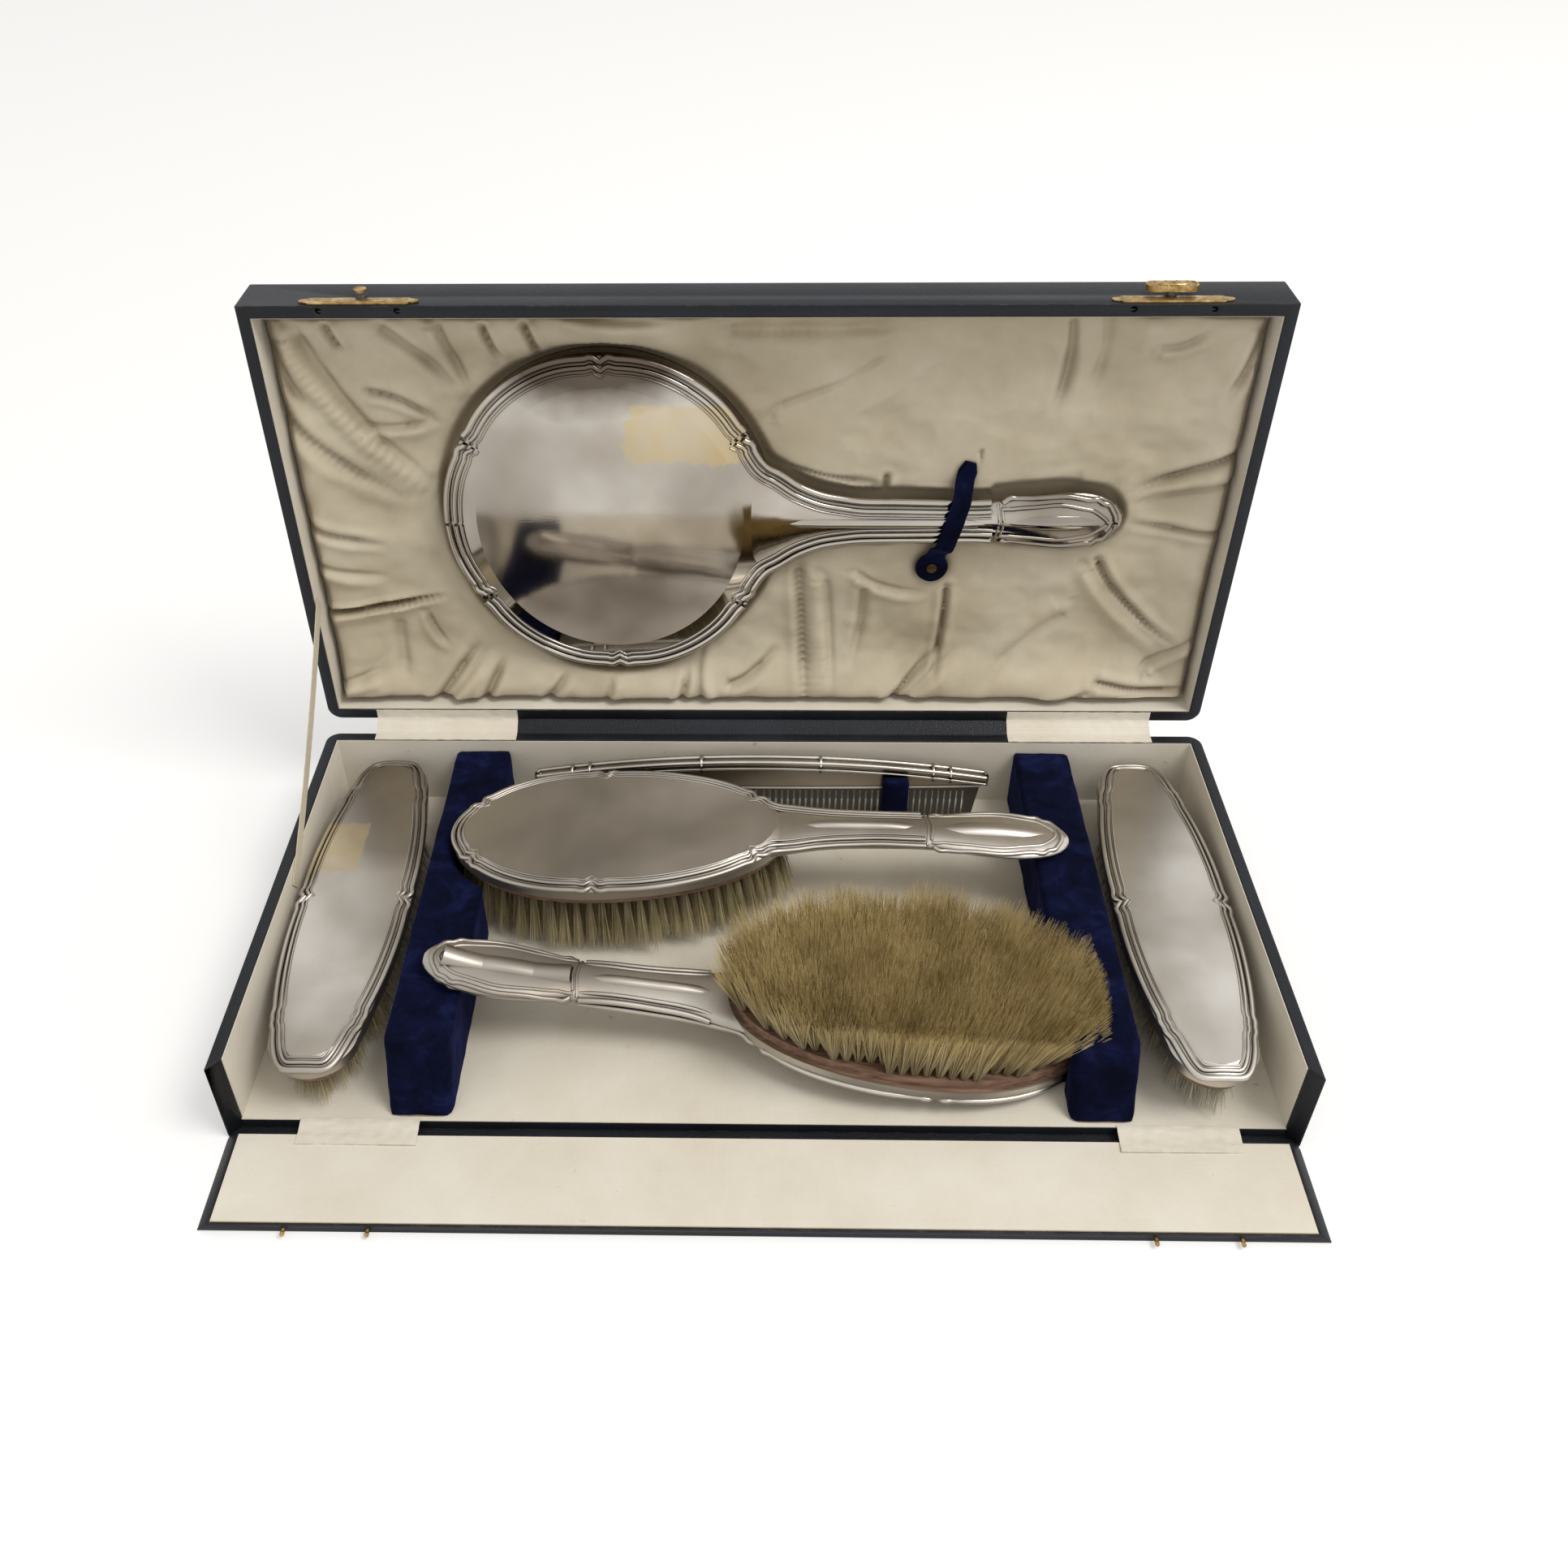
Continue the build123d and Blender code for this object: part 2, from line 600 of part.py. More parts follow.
def mirror_prism(grow):
    """The mirror's plan as a tall prism, for the pad's recess."""
    side = [(u, half_width + grow) for u, half_width, _ in mirror_sections]
    other = [(u, -v) for u, v in side]
    tip, low_tip = (side[-1][0] + grow, side[-1][1]), (side[-1][0] + grow, -side[-1][1])
    plan = make_face([
        Spline(*side), Polyline(side[-1], tip, low_tip, other[-1]), Spline(*other[::-1]), Line(other[0], side[0])])
    return mirror_place(extrude(plan, lid_height) + slab(mirror_face(grow, 0), lid_height))


def make_lid():
    x = half_width - shell
    y = half_depth - shell
    holes = catch_holes()
    outside = lid_form(0.0)
    wood = lid_form(COVER)
    room = block(-x, x, -y, y, lid_rim - 1, lid_inside)
    save("lid_cover", lid_opened(outside - wood - room - holes))
    wood = wood - room
    wide, high = 2 * half_width, lid_inside + lid_height
    save("lid_panel", lid_opened(wood & block(-wide, wide, -wide, wide, lid_inside, high)))
    rails = wood & block(-wide, wide, -wide, wide, 0, lid_inside)
    save("lid_front_rail", lid_opened((rails & block(-wide, wide, -wide, -y, 0, high)) - holes))
    save("lid_back_rail", lid_opened(rails & block(-wide, wide, y, wide, 0, high)))
    save("lid_left_rail", lid_opened(rails & block(-wide, 0, -y, y, 0, high)))
    save("lid_right_rail", lid_opened(rails & block(0, wide, -y, y, 0, high)))

    low = lid_rim + LINING_DROP
    xi = half_width - wall
    yi = half_depth - wall
    save("lid_wall_lining", [lid_opened(piece) for piece in (
        block(-x, -xi, -y, y, low, lid_inside),
        block(xi, x, -y, y, low, lid_inside),
        block(-xi, xi, -y, -yi, low, lid_inside),
        block(-xi, xi, yi, y, low, lid_inside),
    )])
    pad = block(-xi, xi, -yi, yi, lid_rim + PAD_RECESS, lid_inside)
    bed = lid_rim + MIRROR_RECESS + MIRROR_THICKNESS + REST_GAP
    pad -= mirror_prism(MIRROR_PLAY) & block(-xi, xi, -yi, yi, lid_rim, bed)
    save("silk_pad", lid_opened(pad - snap_socket()))
    save("snap_socket", lid_opened(snap_socket()))


# ---------------------------------------------------------------- hand mirror, drawn in the closed lid
def mirror_place(shape):
    """From the mirror's own frame (silver crown at z = 0, glass above) to the closed lid."""
    return Pos(mirror_start, 0, lid_rim + MIRROR_RECESS) * shape


def mirror_face(grow, z):
    return oval(MIRROR_HEAD_LENGTH, MIRROR_HEAD_WIDTH, grow, z)


def mirror_form(grow):
    """Domed back and handle, crown downwards at z = -grow, open where the bezel sits."""
    edge = MIRROR_CROWN + MIRROR_EDGE
    levels = ((grow - CROWN_RUN, -grow), (grow, MIRROR_CROWN - grow), (grow, edge))
    head = stack([mirror_face(g, z) for g, z in levels])
    return head + (grip(mirror_sections, grow, mirror_middle) - slab(mirror_face(0.0, edge), MIRROR_THICKNESS))


def make_mirror():
    edge = MIRROR_CROWN + MIRROR_EDGE
    glass_high = MIRROR_THICKNESS - BEZEL_SHEET
    glass_low = glass_high - GLASS_THICKNESS
    seat = BEZEL_LIP - BEZEL_WIDTH
    inner = mirror_form(-SILVER)
    ring = slab(mirror_face(0.0, edge), MIRROR_THICKNESS - edge)
    ring -= slab(mirror_face(seat, edge - 1), glass_high - edge + 1)
    ring -= slab(mirror_face(-BEZEL_WIDTH, edge), MIRROR_THICKNESS)
    pieces = {
        "mirror_silver_back": mirror_form(0.0) - inner,
        "mirror_core": inner + slab(mirror_face(seat, edge), glass_low - edge),
        "mirror_glass": slab(mirror_face(seat, glass_low), GLASS_THICKNESS),
        "mirror_bezel": ring,
    }
    for name, shape in pieces.items():
        save(name, lid_opened(mirror_place(shape)))


# ---------------------------------------------------------------- strap, drawn in the closed lid
def strap_frame():
    """Plane at the strap's root: x along the strap towards the stud, z away from the pad."""
    turn = math.radians(STRAP_SLANT)
    along = (-math.sin(turn), math.cos(turn), 0)
    middle = Vector(strap_x, 0, lid_rim + PAD_RECESS - REST_GAP)
    root = middle - Vector(*along) * (STRAP_LENGTH / 2)
    return Plane(origin=root, x_dir=along, z_dir=(0, 0, -1))


def snap_socket():
    """Socket let into the pad under the strap's free end."""
    place = strap_frame() * Pos(STRAP_LENGTH, 0, -REST_GAP - SOCKET_DEPTH)
    return place * extrude(Circle(SOCKET_RADIUS), SOCKET_DEPTH)


def make_strap():
    t = STRAP_THICKNESS
    handle_face = PAD_RECESS - MIRROR_RECESS - MIRROR_HANDLE_DROP
    low = handle_face + STRAP_CLEAR - REST_GAP
    a = (STRAP_LENGTH - MIRROR_WAIST_WIDTH) / 2 - 3 * STRAP_CLEAR
    b = STRAP_LENGTH - a
    foot = a - STRAP_SLOPE
    profile = [
        (0, 0), (foot, 0), (a, low), (b, low), (STRAP_LENGTH - foot, 0), (STRAP_LENGTH, 0),
        (STRAP_LENGTH, t), (STRAP_LENGTH - foot + t / 2, t), (b + t / 2, low + t), (a - t / 2, low + t),
        (foot - t / 2, t), (0, t),
    ]
    side = make_face(Polyline(*profile, close=True))
    band = strap_frame() * Plane.XZ * Pos(0, 0, -STRAP_WIDTH / 2) * extrude(side, STRAP_WIDTH)
    end = strap_frame() * Pos(STRAP_LENGTH, 0, 0) * extrude(Circle(STRAP_END_RADIUS), t)
    save("mirror_strap", lid_opened(band + end))
    snap = strap_frame() * Pos(STRAP_LENGTH, 0, t) * extrude(Circle(SNAP_RADIUS), SNAP_HEIGHT)
    save("strap_snap", lid_opened(snap))


# ---------------------------------------------------------------- catches, drawn closed
def catch_plate(x):
    """Back plate with stepped, three-lobed ends."""
    z = lid_rim + PLATE_RISE
    bar = PLATE_LENGTH * 0.4
    plate = block(x - bar, x + bar, front - PLATE_THICKNESS, front, z, z + PLATE_WIDTH)
    for end in (-1, 1):
        for reach, radius, lift in ((0.4, 1.3, 0.24), (0.4, 1.3, 0.76), (0.44, 1.7, 0.5), (0.47, 1.3, 0.5)):
            start = (x + end * PLATE_LENGTH * reach, front, z + PLATE_WIDTH * lift)
            plate += rod(radius, start, PLATE_THICKNESS, (0, -1, 0))
    return plate - rod(STEM_RADIUS + STEM_PLAY, (x, front + 1, stem_z), 5, (0, -1, 0))


def catch_spring(x):
    """Coned ring round the stem, between the plate and the button."""
    inner = STEM_RADIUS + STEM_PLAY
    outer = STUD_HEAD_RADIUS
    ring = make_face(Polyline(
        (inner, BUTTON_STAND), (inner + SPRING_SHEET, BUTTON_STAND), (outer, 0), (outer - SPRING_SHEET, 0), close=True))
    plane = Plane(origin=(x, front - PLATE_THICKNESS, stem_z), x_dir=(1, 0, 0), z_dir=(0, -1, 0))
    return plane * revolve(Plane.XZ * ring, Axis.Z)


def catch_blade(x):
    """Blade behind the pins, with a tongue for each pin's groove."""
    reach = PIN_SPREAD / 2 + TONGUE_WIDTH / 2
    low = groove_z + TONGUE_PLAY
    high = groove_z + GROOVE_HEIGHT - TONGUE_PLAY
    blade = block(x - reach, x + reach, blade_y, blade_y + BLADE, low, stem_z + BLADE_MARGIN)
    for side in (-1, 1):
        middle = x + side * PIN_SPREAD / 2
        blade += block(middle - TONGUE_WIDTH / 2, middle + TONGUE_WIDTH / 2,
                       pin_y + PIN_RADIUS - GROOVE_DEPTH + CATCH_PLAY, blade_y, low, high)
    return blade


def make_catches():
    for side, sign in (("left", -1), ("right", 1)):
        x = sign * catch_centre
        outer_face = front - PLATE_THICKNESS - BUTTON_STAND
        button = rod(STEM_RADIUS, (x, outer_face, stem_z), blade_y - outer_face, (0, 1, 0))
        head = (x, outer_face, stem_z)
        if side == "right":
            button += stadium(BUTTON_LENGTH, BUTTON_WIDTH, head, BUTTON_THICKNESS, (0, -1, 0))
        else:
            button += rod(STUD_HEAD_RADIUS, head, STUD_HEAD_THICKNESS, (0, -1, 0))
        save(f"{side}_catch_plate", lid_opened(catch_plate(x)))
        save(f"{side}_catch_spring", lid_opened(catch_spring(x)))
        save(f"{side}_catch_button", lid_opened(button))
        save(f"{side}_catch_blade", lid_opened(catch_blade(x)))


# ---------------------------------------------------------------- flap, drawn closed
def flap_form(inset):
    """The flap without its lining: mitred ends, inset on every side that the cover wraps."""
    y0 = front + inset
    y1 = front + flap_thickness - LINING
    x = half_width - inset * math.sqrt(2)
    plan = [(-x + inset, y0), (x - inset, y0), (x - (y1 - front), y1), (-x + (y1 - front), y1)]
    return prism(plan, FLAP_RISE + inset, tray_height - inset)


def flap_pins():
    pins = []
    for sign in (-1, 1):
        for offset in (-PIN_SPREAD / 2, PIN_SPREAD / 2):
            x = sign * catch_centre + offset
            start = (x, pin_y, tray_height - PIN_DEPTH)
            pin = rod(PIN_RADIUS, start, PIN_DEPTH + LID_GAP + PIN_RISE, (0, 0, 1))
            floor = pin_y + PIN_RADIUS - GROOVE_DEPTH
            pin = chamfer(pin.edges().group_by(Axis.Z)[-1], PIN_TIP)
            pins.append(pin - block(x - 2, x + 2, floor, pin_y + 2, groove_z, groove_z + GROOVE_HEIGHT))
    return pins


def flap_opened(shape):
    return shape.rotate(flap_axis, 90)


def make_flap():
    pins = flap_pins()
    board = flap_form(COVER)
    save("flap_cover", flap_opened(flap_form(0.0) - board - pins))
    save("flap_board", flap_opened(board - pins))
    x = half_width - flap_thickness - LINING_MARGIN
    y1 = front + flap_thickness
    lining = block(-x, x, y1 - LINING, y1, FLAP_RISE + LINING_MARGIN, tray_height - LINING_MARGIN)
    save("flap_lining", flap_opened(lining))
    save("keeper_pins", [flap_opened(pin) for pin in pins])


# ---------------------------------------------------------------- cloth and leathercloth hinges, drawn open
def make_hinges():
    rim = tray_height
    spine = [
        (back, rim - SPINE_GLUED), (back + COVER, rim - SPINE_GLUED), (back + COVER, rim - COVER * 0.3),
        (open_rim_y + COVER * 0.4, open_low_z - COVER), (open_rim_y + SPINE_GLUED, open_low_z - COVER),
        (open_rim_y + SPINE_GLUED, open_low_z), (open_rim_y, open_low_z), (back, rim),
    ]
    save("hinge_spine", strip(spine, -spine_reach, spine_reach))
    tab = [
        (lining_back, rim), (back, rim), (open_rim_y, open_low_z), (open_rim_y, open_low_z + wall),
        (open_rim_y - CLOTH, open_low_z + wall), (open_rim_y - CLOTH, open_low_z + CLOTH * 0.6),
        (back - CLOTH * 0.3, rim + CLOTH), (lining_back, rim + CLOTH),
    ]
    save("lid_hinge_tabs", [
        strip(tab, x - TAB_WIDTH / 2, x + TAB_WIDTH / 2) for x in (-tab_centre, tab_centre)])

    near = front - FLAP_RISE
    reach = half_width - STRIP_END_GAP
    save("flap_hinge_strip", block(-reach, reach, near, floor_front, 0, COVER))
    low = flap_thickness
    cloth = [
        (floor_front + FLAP_TAB_TUCK, floor_top), (floor_front + FLAP_TAB_TUCK, floor_top + CLOTH),
        (floor_front - 0.1, floor_top + CLOTH), (near, low + CLOTH), (near - FLAP_TAB_REACH, low + CLOTH),
        (near - FLAP_TAB_REACH, low), (near, low), (floor_front, floor_top),
    ]
    save("flap_hinge_tabs", [
        strip(cloth, x - FLAP_TAB_WIDTH / 2, x + FLAP_TAB_WIDTH / 2)
        for x in (-flap_tab_centre, flap_tab_centre)])


def make_ribbon():
    """Slack ribbon against the left walls, from the lid to the tray."""
    top = (open_rim_y + RIBBON_IN_LID, open_low_z + RIBBON_ON_LID)
    foot = (lining_back - RIBBON_ON_TRAY, tray_height - RIBBON_BELOW_RIM)
    dy, dz = top[0] - foot[0], top[1] - foot[1]
    size = math.hypot(dy, dz)
    ny, nz = -dz / size, dy / size
    low = ((top[0] + foot[0]) / 2 - ny * RIBBON_SAG, (top[1] + foot[1]) / 2 - nz * RIBBON_SAG)
    half = RIBBON_WIDTH / 2
    above = [(y + ny * half, z + nz * half) for y, z in (top, low, foot)]
    below = [(y - ny * half, z - nz * half) for y, z in (foot, low, top)]
    x = -half_width + wall + RIBBON_THICKNESS / 2
    save("ribbon_stay", strip(above + below, x, x + RIBBON_THICKNESS))


os.makedirs("parts", exist_ok=True)
make_tray()
make_racks()
make_lid()
make_catches()
make_flap()
make_hinges()
make_ribbon()
make_mirror()
make_strap()
make_brushes()
make_comb()
print(f"case {2 * half_width:.1f} x {2 * half_depth:.1f}, tray {tray_height:.1f}, lid {lid_height:.1f}")
print(f"hinge axis y {hinge_y:.2f} z {hinge_z:.2f}, open rim y {open_rim_y:.2f}, open low z {open_low_z:.2f}")
print(f"tilts: rear {rear_tilt:.2f}, front {front_tilt:.2f}")
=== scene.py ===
# %% [markdown]
# # A fitted dressing box
#
# The real object is a shallow leathercloth case that stands open, with six silver-backed pieces in
# it. The solids of the case and of its contents are already modelled. This lesson dresses them: it
# replaces what is soft, adds the raised silverwork and the bristles, and gives each surface a
# finish. Everything is in metres, and sizes are written in millimetres times MM.

# %% Load the model
import math
import random

import bpy
import numpy as np
from mathutils import Matrix, Vector, noise
from mathutils.bvhtree import BVHTree


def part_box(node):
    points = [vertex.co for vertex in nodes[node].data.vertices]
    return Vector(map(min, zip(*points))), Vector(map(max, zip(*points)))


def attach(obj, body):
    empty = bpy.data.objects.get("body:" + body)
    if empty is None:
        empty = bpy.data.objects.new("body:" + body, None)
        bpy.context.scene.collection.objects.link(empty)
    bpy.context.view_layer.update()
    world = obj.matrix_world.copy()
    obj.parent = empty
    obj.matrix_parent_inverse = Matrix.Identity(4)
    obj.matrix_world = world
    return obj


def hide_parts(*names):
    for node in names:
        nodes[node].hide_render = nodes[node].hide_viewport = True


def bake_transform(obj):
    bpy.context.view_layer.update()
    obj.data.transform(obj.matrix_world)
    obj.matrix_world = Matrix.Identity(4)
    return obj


MM = 0.001
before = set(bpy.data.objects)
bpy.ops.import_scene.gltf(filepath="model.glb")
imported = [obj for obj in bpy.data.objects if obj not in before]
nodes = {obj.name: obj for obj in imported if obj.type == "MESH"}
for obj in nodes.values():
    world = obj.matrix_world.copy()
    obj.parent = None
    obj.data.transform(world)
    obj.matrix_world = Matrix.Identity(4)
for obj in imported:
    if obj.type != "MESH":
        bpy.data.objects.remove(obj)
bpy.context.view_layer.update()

# %% [markdown]
# ## Camera, light and floor
#
# A case like this is best seen from a little above its front edge. The camera is turned by its
# own axes, because a level camera can't give the slight roll. The light is plain: an even world and
# one large soft lamp at the upper right, which leaves a shadow on the left.

# %% Camera
yaw, pitch, roll = (math.radians(a) for a in (-1.589, 39.711, -0.768))
ahead = Vector((math.sin(yaw) * math.cos(pitch), math.cos(yaw) * math.cos(pitch), -math.sin(pitch)))
level = Vector((math.cos(yaw), -math.sin(yaw), 0))
upright = level.cross(ahead)
across = level * math.cos(roll) + upright * math.sin(roll)
above = upright * math.cos(roll) - level * math.sin(roll)
bpy.ops.object.camera_add(location=Vector((-0.86, -426.9, 453.8)) * MM)
camera = bpy.context.object
camera.rotation_euler = Matrix((across, above, -ahead)).transposed().to_euler()
camera.data.lens = 33.38
camera.data.sensor_width = 36
camera.data.shift_x = 0.0356
camera.data.shift_y = -0.0084
camera.data.clip_start = 0.01
bpy.context.scene.camera = camera
print("camera looks down", round(math.degrees(pitch), 1), "degrees")


# %% Node helper and colours
def linear(code):
    """An sRGB hex colour as Blender's linear RGBA."""
    parts = [int(code[i:i + 2], 16) / 255 for i in (1, 3, 5)]
    return [c / 12.92 if c < 0.04045 else ((c + 0.055) / 1.055) ** 2.4 for c in parts] + [1.0]


def add(tree, kind, inputs=None, stops=(), **settings):
    """Adds a node. inputs gives its sockets a value, a hex colour, another node or one of its sockets."""
    node = tree.nodes.new("ShaderNode" + kind)
    for name, value in settings.items():
        setattr(node, name, value)
    for key, value in (inputs or {}).items():
        if isinstance(value, bpy.types.Node):
            value = value.outputs[0]
        if isinstance(value, bpy.types.NodeSocket):
            tree.links.new(value, node.inputs[key])
        else:
            node.inputs[key].default_value = linear(value) if isinstance(value, str) else value
    for i, (position, code) in enumerate(stops):
        spot = node.color_ramp.elements[i] if i < 2 else node.color_ramp.elements.new(position)
        spot.position = position
        spot.color = linear(code)
    return node


def seen_rays(tree, *kinds):
    """1 for rays of these kinds, to which the backdrop shows, and 0 for those that light the object."""
    rays = add(tree, "LightPath").outputs
    seen = rays[kinds[0]]
    for kind in kinds[1:]:
        seen = add(tree, "Math", {0: seen, 1: rays[kind]}, operation="MAXIMUM").outputs[0]
    return seen


# %% World and lamp
EVEN_LIGHT = 0.72
LAMP_WATTS = 48
world = bpy.data.worlds.new("Plain studio")
world.use_nodes = True
bpy.context.scene.world = world
tree = world.node_tree
tree.nodes.clear()
seen = seen_rays(tree, "Is Camera Ray", "Is Glossy Ray", "Is Transmission Ray")
even = add(tree, "Background", {"Color": "#f4f2ee", "Strength": EVEN_LIGHT})
white = add(tree, "Background", {"Color": (1, 1, 1, 1), "Strength": 1.0})
both = add(tree, "MixShader", {0: seen, 1: even, 2: white})
add(tree, "OutputWorld", {0: both})

bpy.ops.object.light_add(type="AREA", location=(1.5, -0.7, 2.7))
lamp = bpy.context.object
lamp.data.size = 1.3
lamp.data.energy = LAMP_WATTS
lamp.data.color = (1.0, 0.985, 0.96)
lamp.rotation_euler = (Vector((0, 0, 0.05)) - lamp.location).to_track_quat("-Z", "Y").to_euler()
bpy.context.scene.view_settings.view_transform = "Standard"
print("world", EVEN_LIGHT, "lamp", LAMP_WATTS, "W")

# %% Floor
FLOOR_SIZE = 9
FLOOR_GLOW = 0.35
bpy.ops.object.select_all(action="DESELECT")
bpy.ops.mesh.primitive_plane_add(size=FLOOR_SIZE, location=(0, 0, -0.2 * MM))
floor = bpy.context.object
floor.name = "studio_floor"
paper = bpy.data.materials.new("Studio paper, matt")
paper.use_nodes = True
tree = paper.node_tree
tree.nodes.clear()
seen = seen_rays(tree, "Is Camera Ray", "Is Glossy Ray")
lift = add(tree, "Math", {0: seen, 1: FLOOR_GLOW}, operation="MULTIPLY")
matt = add(tree, "BsdfDiffuse", {"Color": "#dcdcdc"})
glow = add(tree, "Emission", {"Color": (1, 1, 1, 1), "Strength": lift})
total = add(tree, "AddShader", {0: matt, 1: glow})
add(tree, "OutputMaterial", {0: total})
floor.data.materials.append(paper)
print("floor", FLOOR_SIZE, "m wide")

# %% [markdown]
# ## Finishes
#
# Each finish starts as a Principled shader that reads Object coordinates. Because every piece stands
# at the origin in metres, a pattern's scale is one over its real size. Wear on covered board shows
# first where it bends round an edge, so the difference between a rounded and a true normal gives an
# edge mask. Dirt in silver stays in the hollows that a cloth doesn't reach, so ambient occlusion
# gives a mask for it.


# %% Start and end of a finish
def finish_start(name, **sockets):
    """A new material with a Principled shader: returns it, its tree, the shader and Object coordinates."""
    material = bpy.data.materials.new(name)
    material.use_nodes = True
    tree = material.node_tree
    tree.nodes.clear()
    shader = add(tree, "BsdfPrincipled", {key.replace("_", " "): value for key, value in sockets.items()})
    add(tree, "OutputMaterial", {0: shader})
    place = add(tree, "TexCoord").outputs["Object"]
    return material, tree, shader, place


def join(tree, shader, **nodes_for):
    """Links nodes, or sockets of nodes, to the shader's inputs."""
    for key, value in nodes_for.items():
        if isinstance(value, bpy.types.Node):
            value = value.outputs[0]
        tree.links.new(value, shader.inputs[key.replace("_", " ")])


# %% Leathercloth, embossed
# Nitrocellulose-coated cotton with a fine morocco grain: dark, slightly shiny, paler where rubbed.
def make_leathercloth():
    material, tree, shader, place = finish_start(
        "Leathercloth, embossed", Roughness=0.5, IOR=1.5, Specular_IOR_Level=0.28)
    cells = add(tree, "TexVoronoi", {"Vector": place, "Scale": 1 / (1.3 * MM)}, feature="DISTANCE_TO_EDGE")
    grain = add(tree, "MapRange", {0: cells, 1: 0.0, 2: 0.25})
    soft = add(tree, "Bevel", {"Radius": 0.9 * MM}, samples=4)
    true = add(tree, "NewGeometry").outputs["Normal"]
    facing = add(tree, "VectorMath", {0: soft, 1: true}, operation="DOT_PRODUCT").outputs[1]
    edge = add(tree, "MapRange", {0: facing, 1: 0.97, 2: 0.75})
    hands = add(tree, "TexNoise", {"Vector": place, "Scale": 1 / (9 * MM), "Detail": 6, "Roughness": 0.7})
    rub = add(tree, "MapRange", {0: hands, 1: 0.48, 2: 0.68})
    worn = add(tree, "Math", {0: edge, 1: rub}, operation="MULTIPLY")
    patches = add(tree, "TexNoise", {"Vector": place, "Scale": 1 / (60 * MM), "Detail": 4})
    body = add(tree, "ValToRGB", {0: patches}, ((0.3, "#131519"), (0.55, "#1a1c22"), (0.75, "#24272d")))
    nicks = add(tree, "TexNoise", {"Vector": place, "Scale": 1 / (2.2 * MM), "Detail": 8,
                                   "Roughness": 0.75})
    flecks = add(tree, "MapRange", {0: nicks, 1: 0.72, 2: 0.78, 4: 0.5})
    body = add(tree, "Mix", {0: flecks, 6: body, 7: "#6b6a68"}, data_type="RGBA").outputs[2]
    colour = add(tree, "Mix", {0: worn, 6: body, 7: "#6c6964"}, data_type="RGBA").outputs[2]
    rough = add(tree, "MapRange", {0: patches, 1: 0.3, 2: 0.8, 3: 0.42, 4: 0.6})
    relief = add(tree, "Bump", {"Height": grain, "Distance": 0.12 * MM, "Strength": 0.6, "Normal": soft})
    join(tree, shader, Base_Color=colour, Roughness=rough, Normal=relief)
    return material


# %% Woven and paper linings
# Glazed cotton on pasteboard: a plain weave of 0.5 mm threads, drawn at 0.9 mm so that it shows.
def make_weave(name, light, dark, stain, pitch, rough, sheen):
    material, tree, shader, place = finish_start(name, Roughness=rough, Sheen_Weight=sheen, IOR=1.45)
    waves = []
    for axis in "XYZ":
        sockets = {"Vector": place, "Scale": 0.314 / pitch, "Distortion": 0.4, "Detail": 1.0}
        waves.append(add(tree, "TexWave", sockets, bands_direction=axis).outputs["Fac"])
    threads = add(tree, "Math", {0: waves[0], 1: waves[1]}, operation="ADD")
    threads = add(tree, "Math", {0: threads, 1: waves[2]}, operation="ADD")
    blotch = add(tree, "TexNoise", {"Vector": place, "Scale": 1 / (45 * MM), "Detail": 5, "Roughness": 0.6})
    base = add(tree, "ValToRGB", {0: blotch}, ((0.3, dark), (0.65, light)))
    damp = add(tree, "TexNoise", {"Vector": place, "Scale": 1 / (7 * MM), "Detail": 4, "Roughness": 0.6,
                                  "Distortion": 0.4})
    foxing = add(tree, "MapRange", {0: damp, 1: 0.69, 2: 0.76, 4: 0.55})
    colour = add(tree, "Mix", {0: foxing, 6: base, 7: stain}, data_type="RGBA").outputs[2]
    shade = add(tree, "MapRange", {0: threads, 1: 0.6, 2: 2.4, 4: 0.14})
    colour = add(tree, "Mix", {0: shade, 6: colour, 7: stain}, data_type="RGBA").outputs[2]
    relief = add(tree, "Bump", {"Height": threads, "Distance": 0.05 * MM, "Strength": 0.5})
    join(tree, shader, Base_Color=colour, Normal=relief)
    return material


# %% Silk satin, ruched
# Satin has a smooth face of long threads, so it shines softly and its folds keep broad highlights.
def make_silk():
    material, tree, shader, place = finish_start(
        "Silk satin, ruched", Roughness=0.46, Sheen_Weight=0.25, Sheen_Roughness=0.4, IOR=1.5)
    blotch = add(tree, "TexNoise", {"Vector": place, "Scale": 1 / (55 * MM), "Detail": 5, "Roughness": 0.6})
    base = add(tree, "ValToRGB", {0: blotch}, ((0.3, "#b5a88f"), (0.5, "#c8bca3"), (0.7, "#d8ceb8")))
    # Painted shade: ambient occlusion over 9 mm mixes the silk towards dark brown in the hollows of its
    # folds.
    hollow = add(tree, "AmbientOcclusion", {"Distance": 9 * MM}, samples=6).outputs["AO"]
    shade = add(tree, "MapRange", {0: hollow, 1: 0.4, 2: 0.97, 3: 0.85, 4: 0.0})
    colour = add(tree, "Mix", {0: shade, 6: base, 7: "#75654b"}, data_type="RGBA").outputs[2]
    along = add(tree, "Mapping", {"Vector": place, "Scale": (1, 1, 0.08)})
    threads = add(tree, "TexNoise", {"Vector": along, "Scale": 1 / (0.7 * MM), "Detail": 2})
    rough = add(tree, "MapRange", {0: blotch, 1: 0.3, 2: 0.7, 3: 0.4, 4: 0.52})
    relief = add(tree, "Bump", {"Height": threads, "Distance": 0.05 * MM, "Strength": 0.25})
    join(tree, shader, Base_Color=colour, Roughness=rough, Normal=relief)
    return material


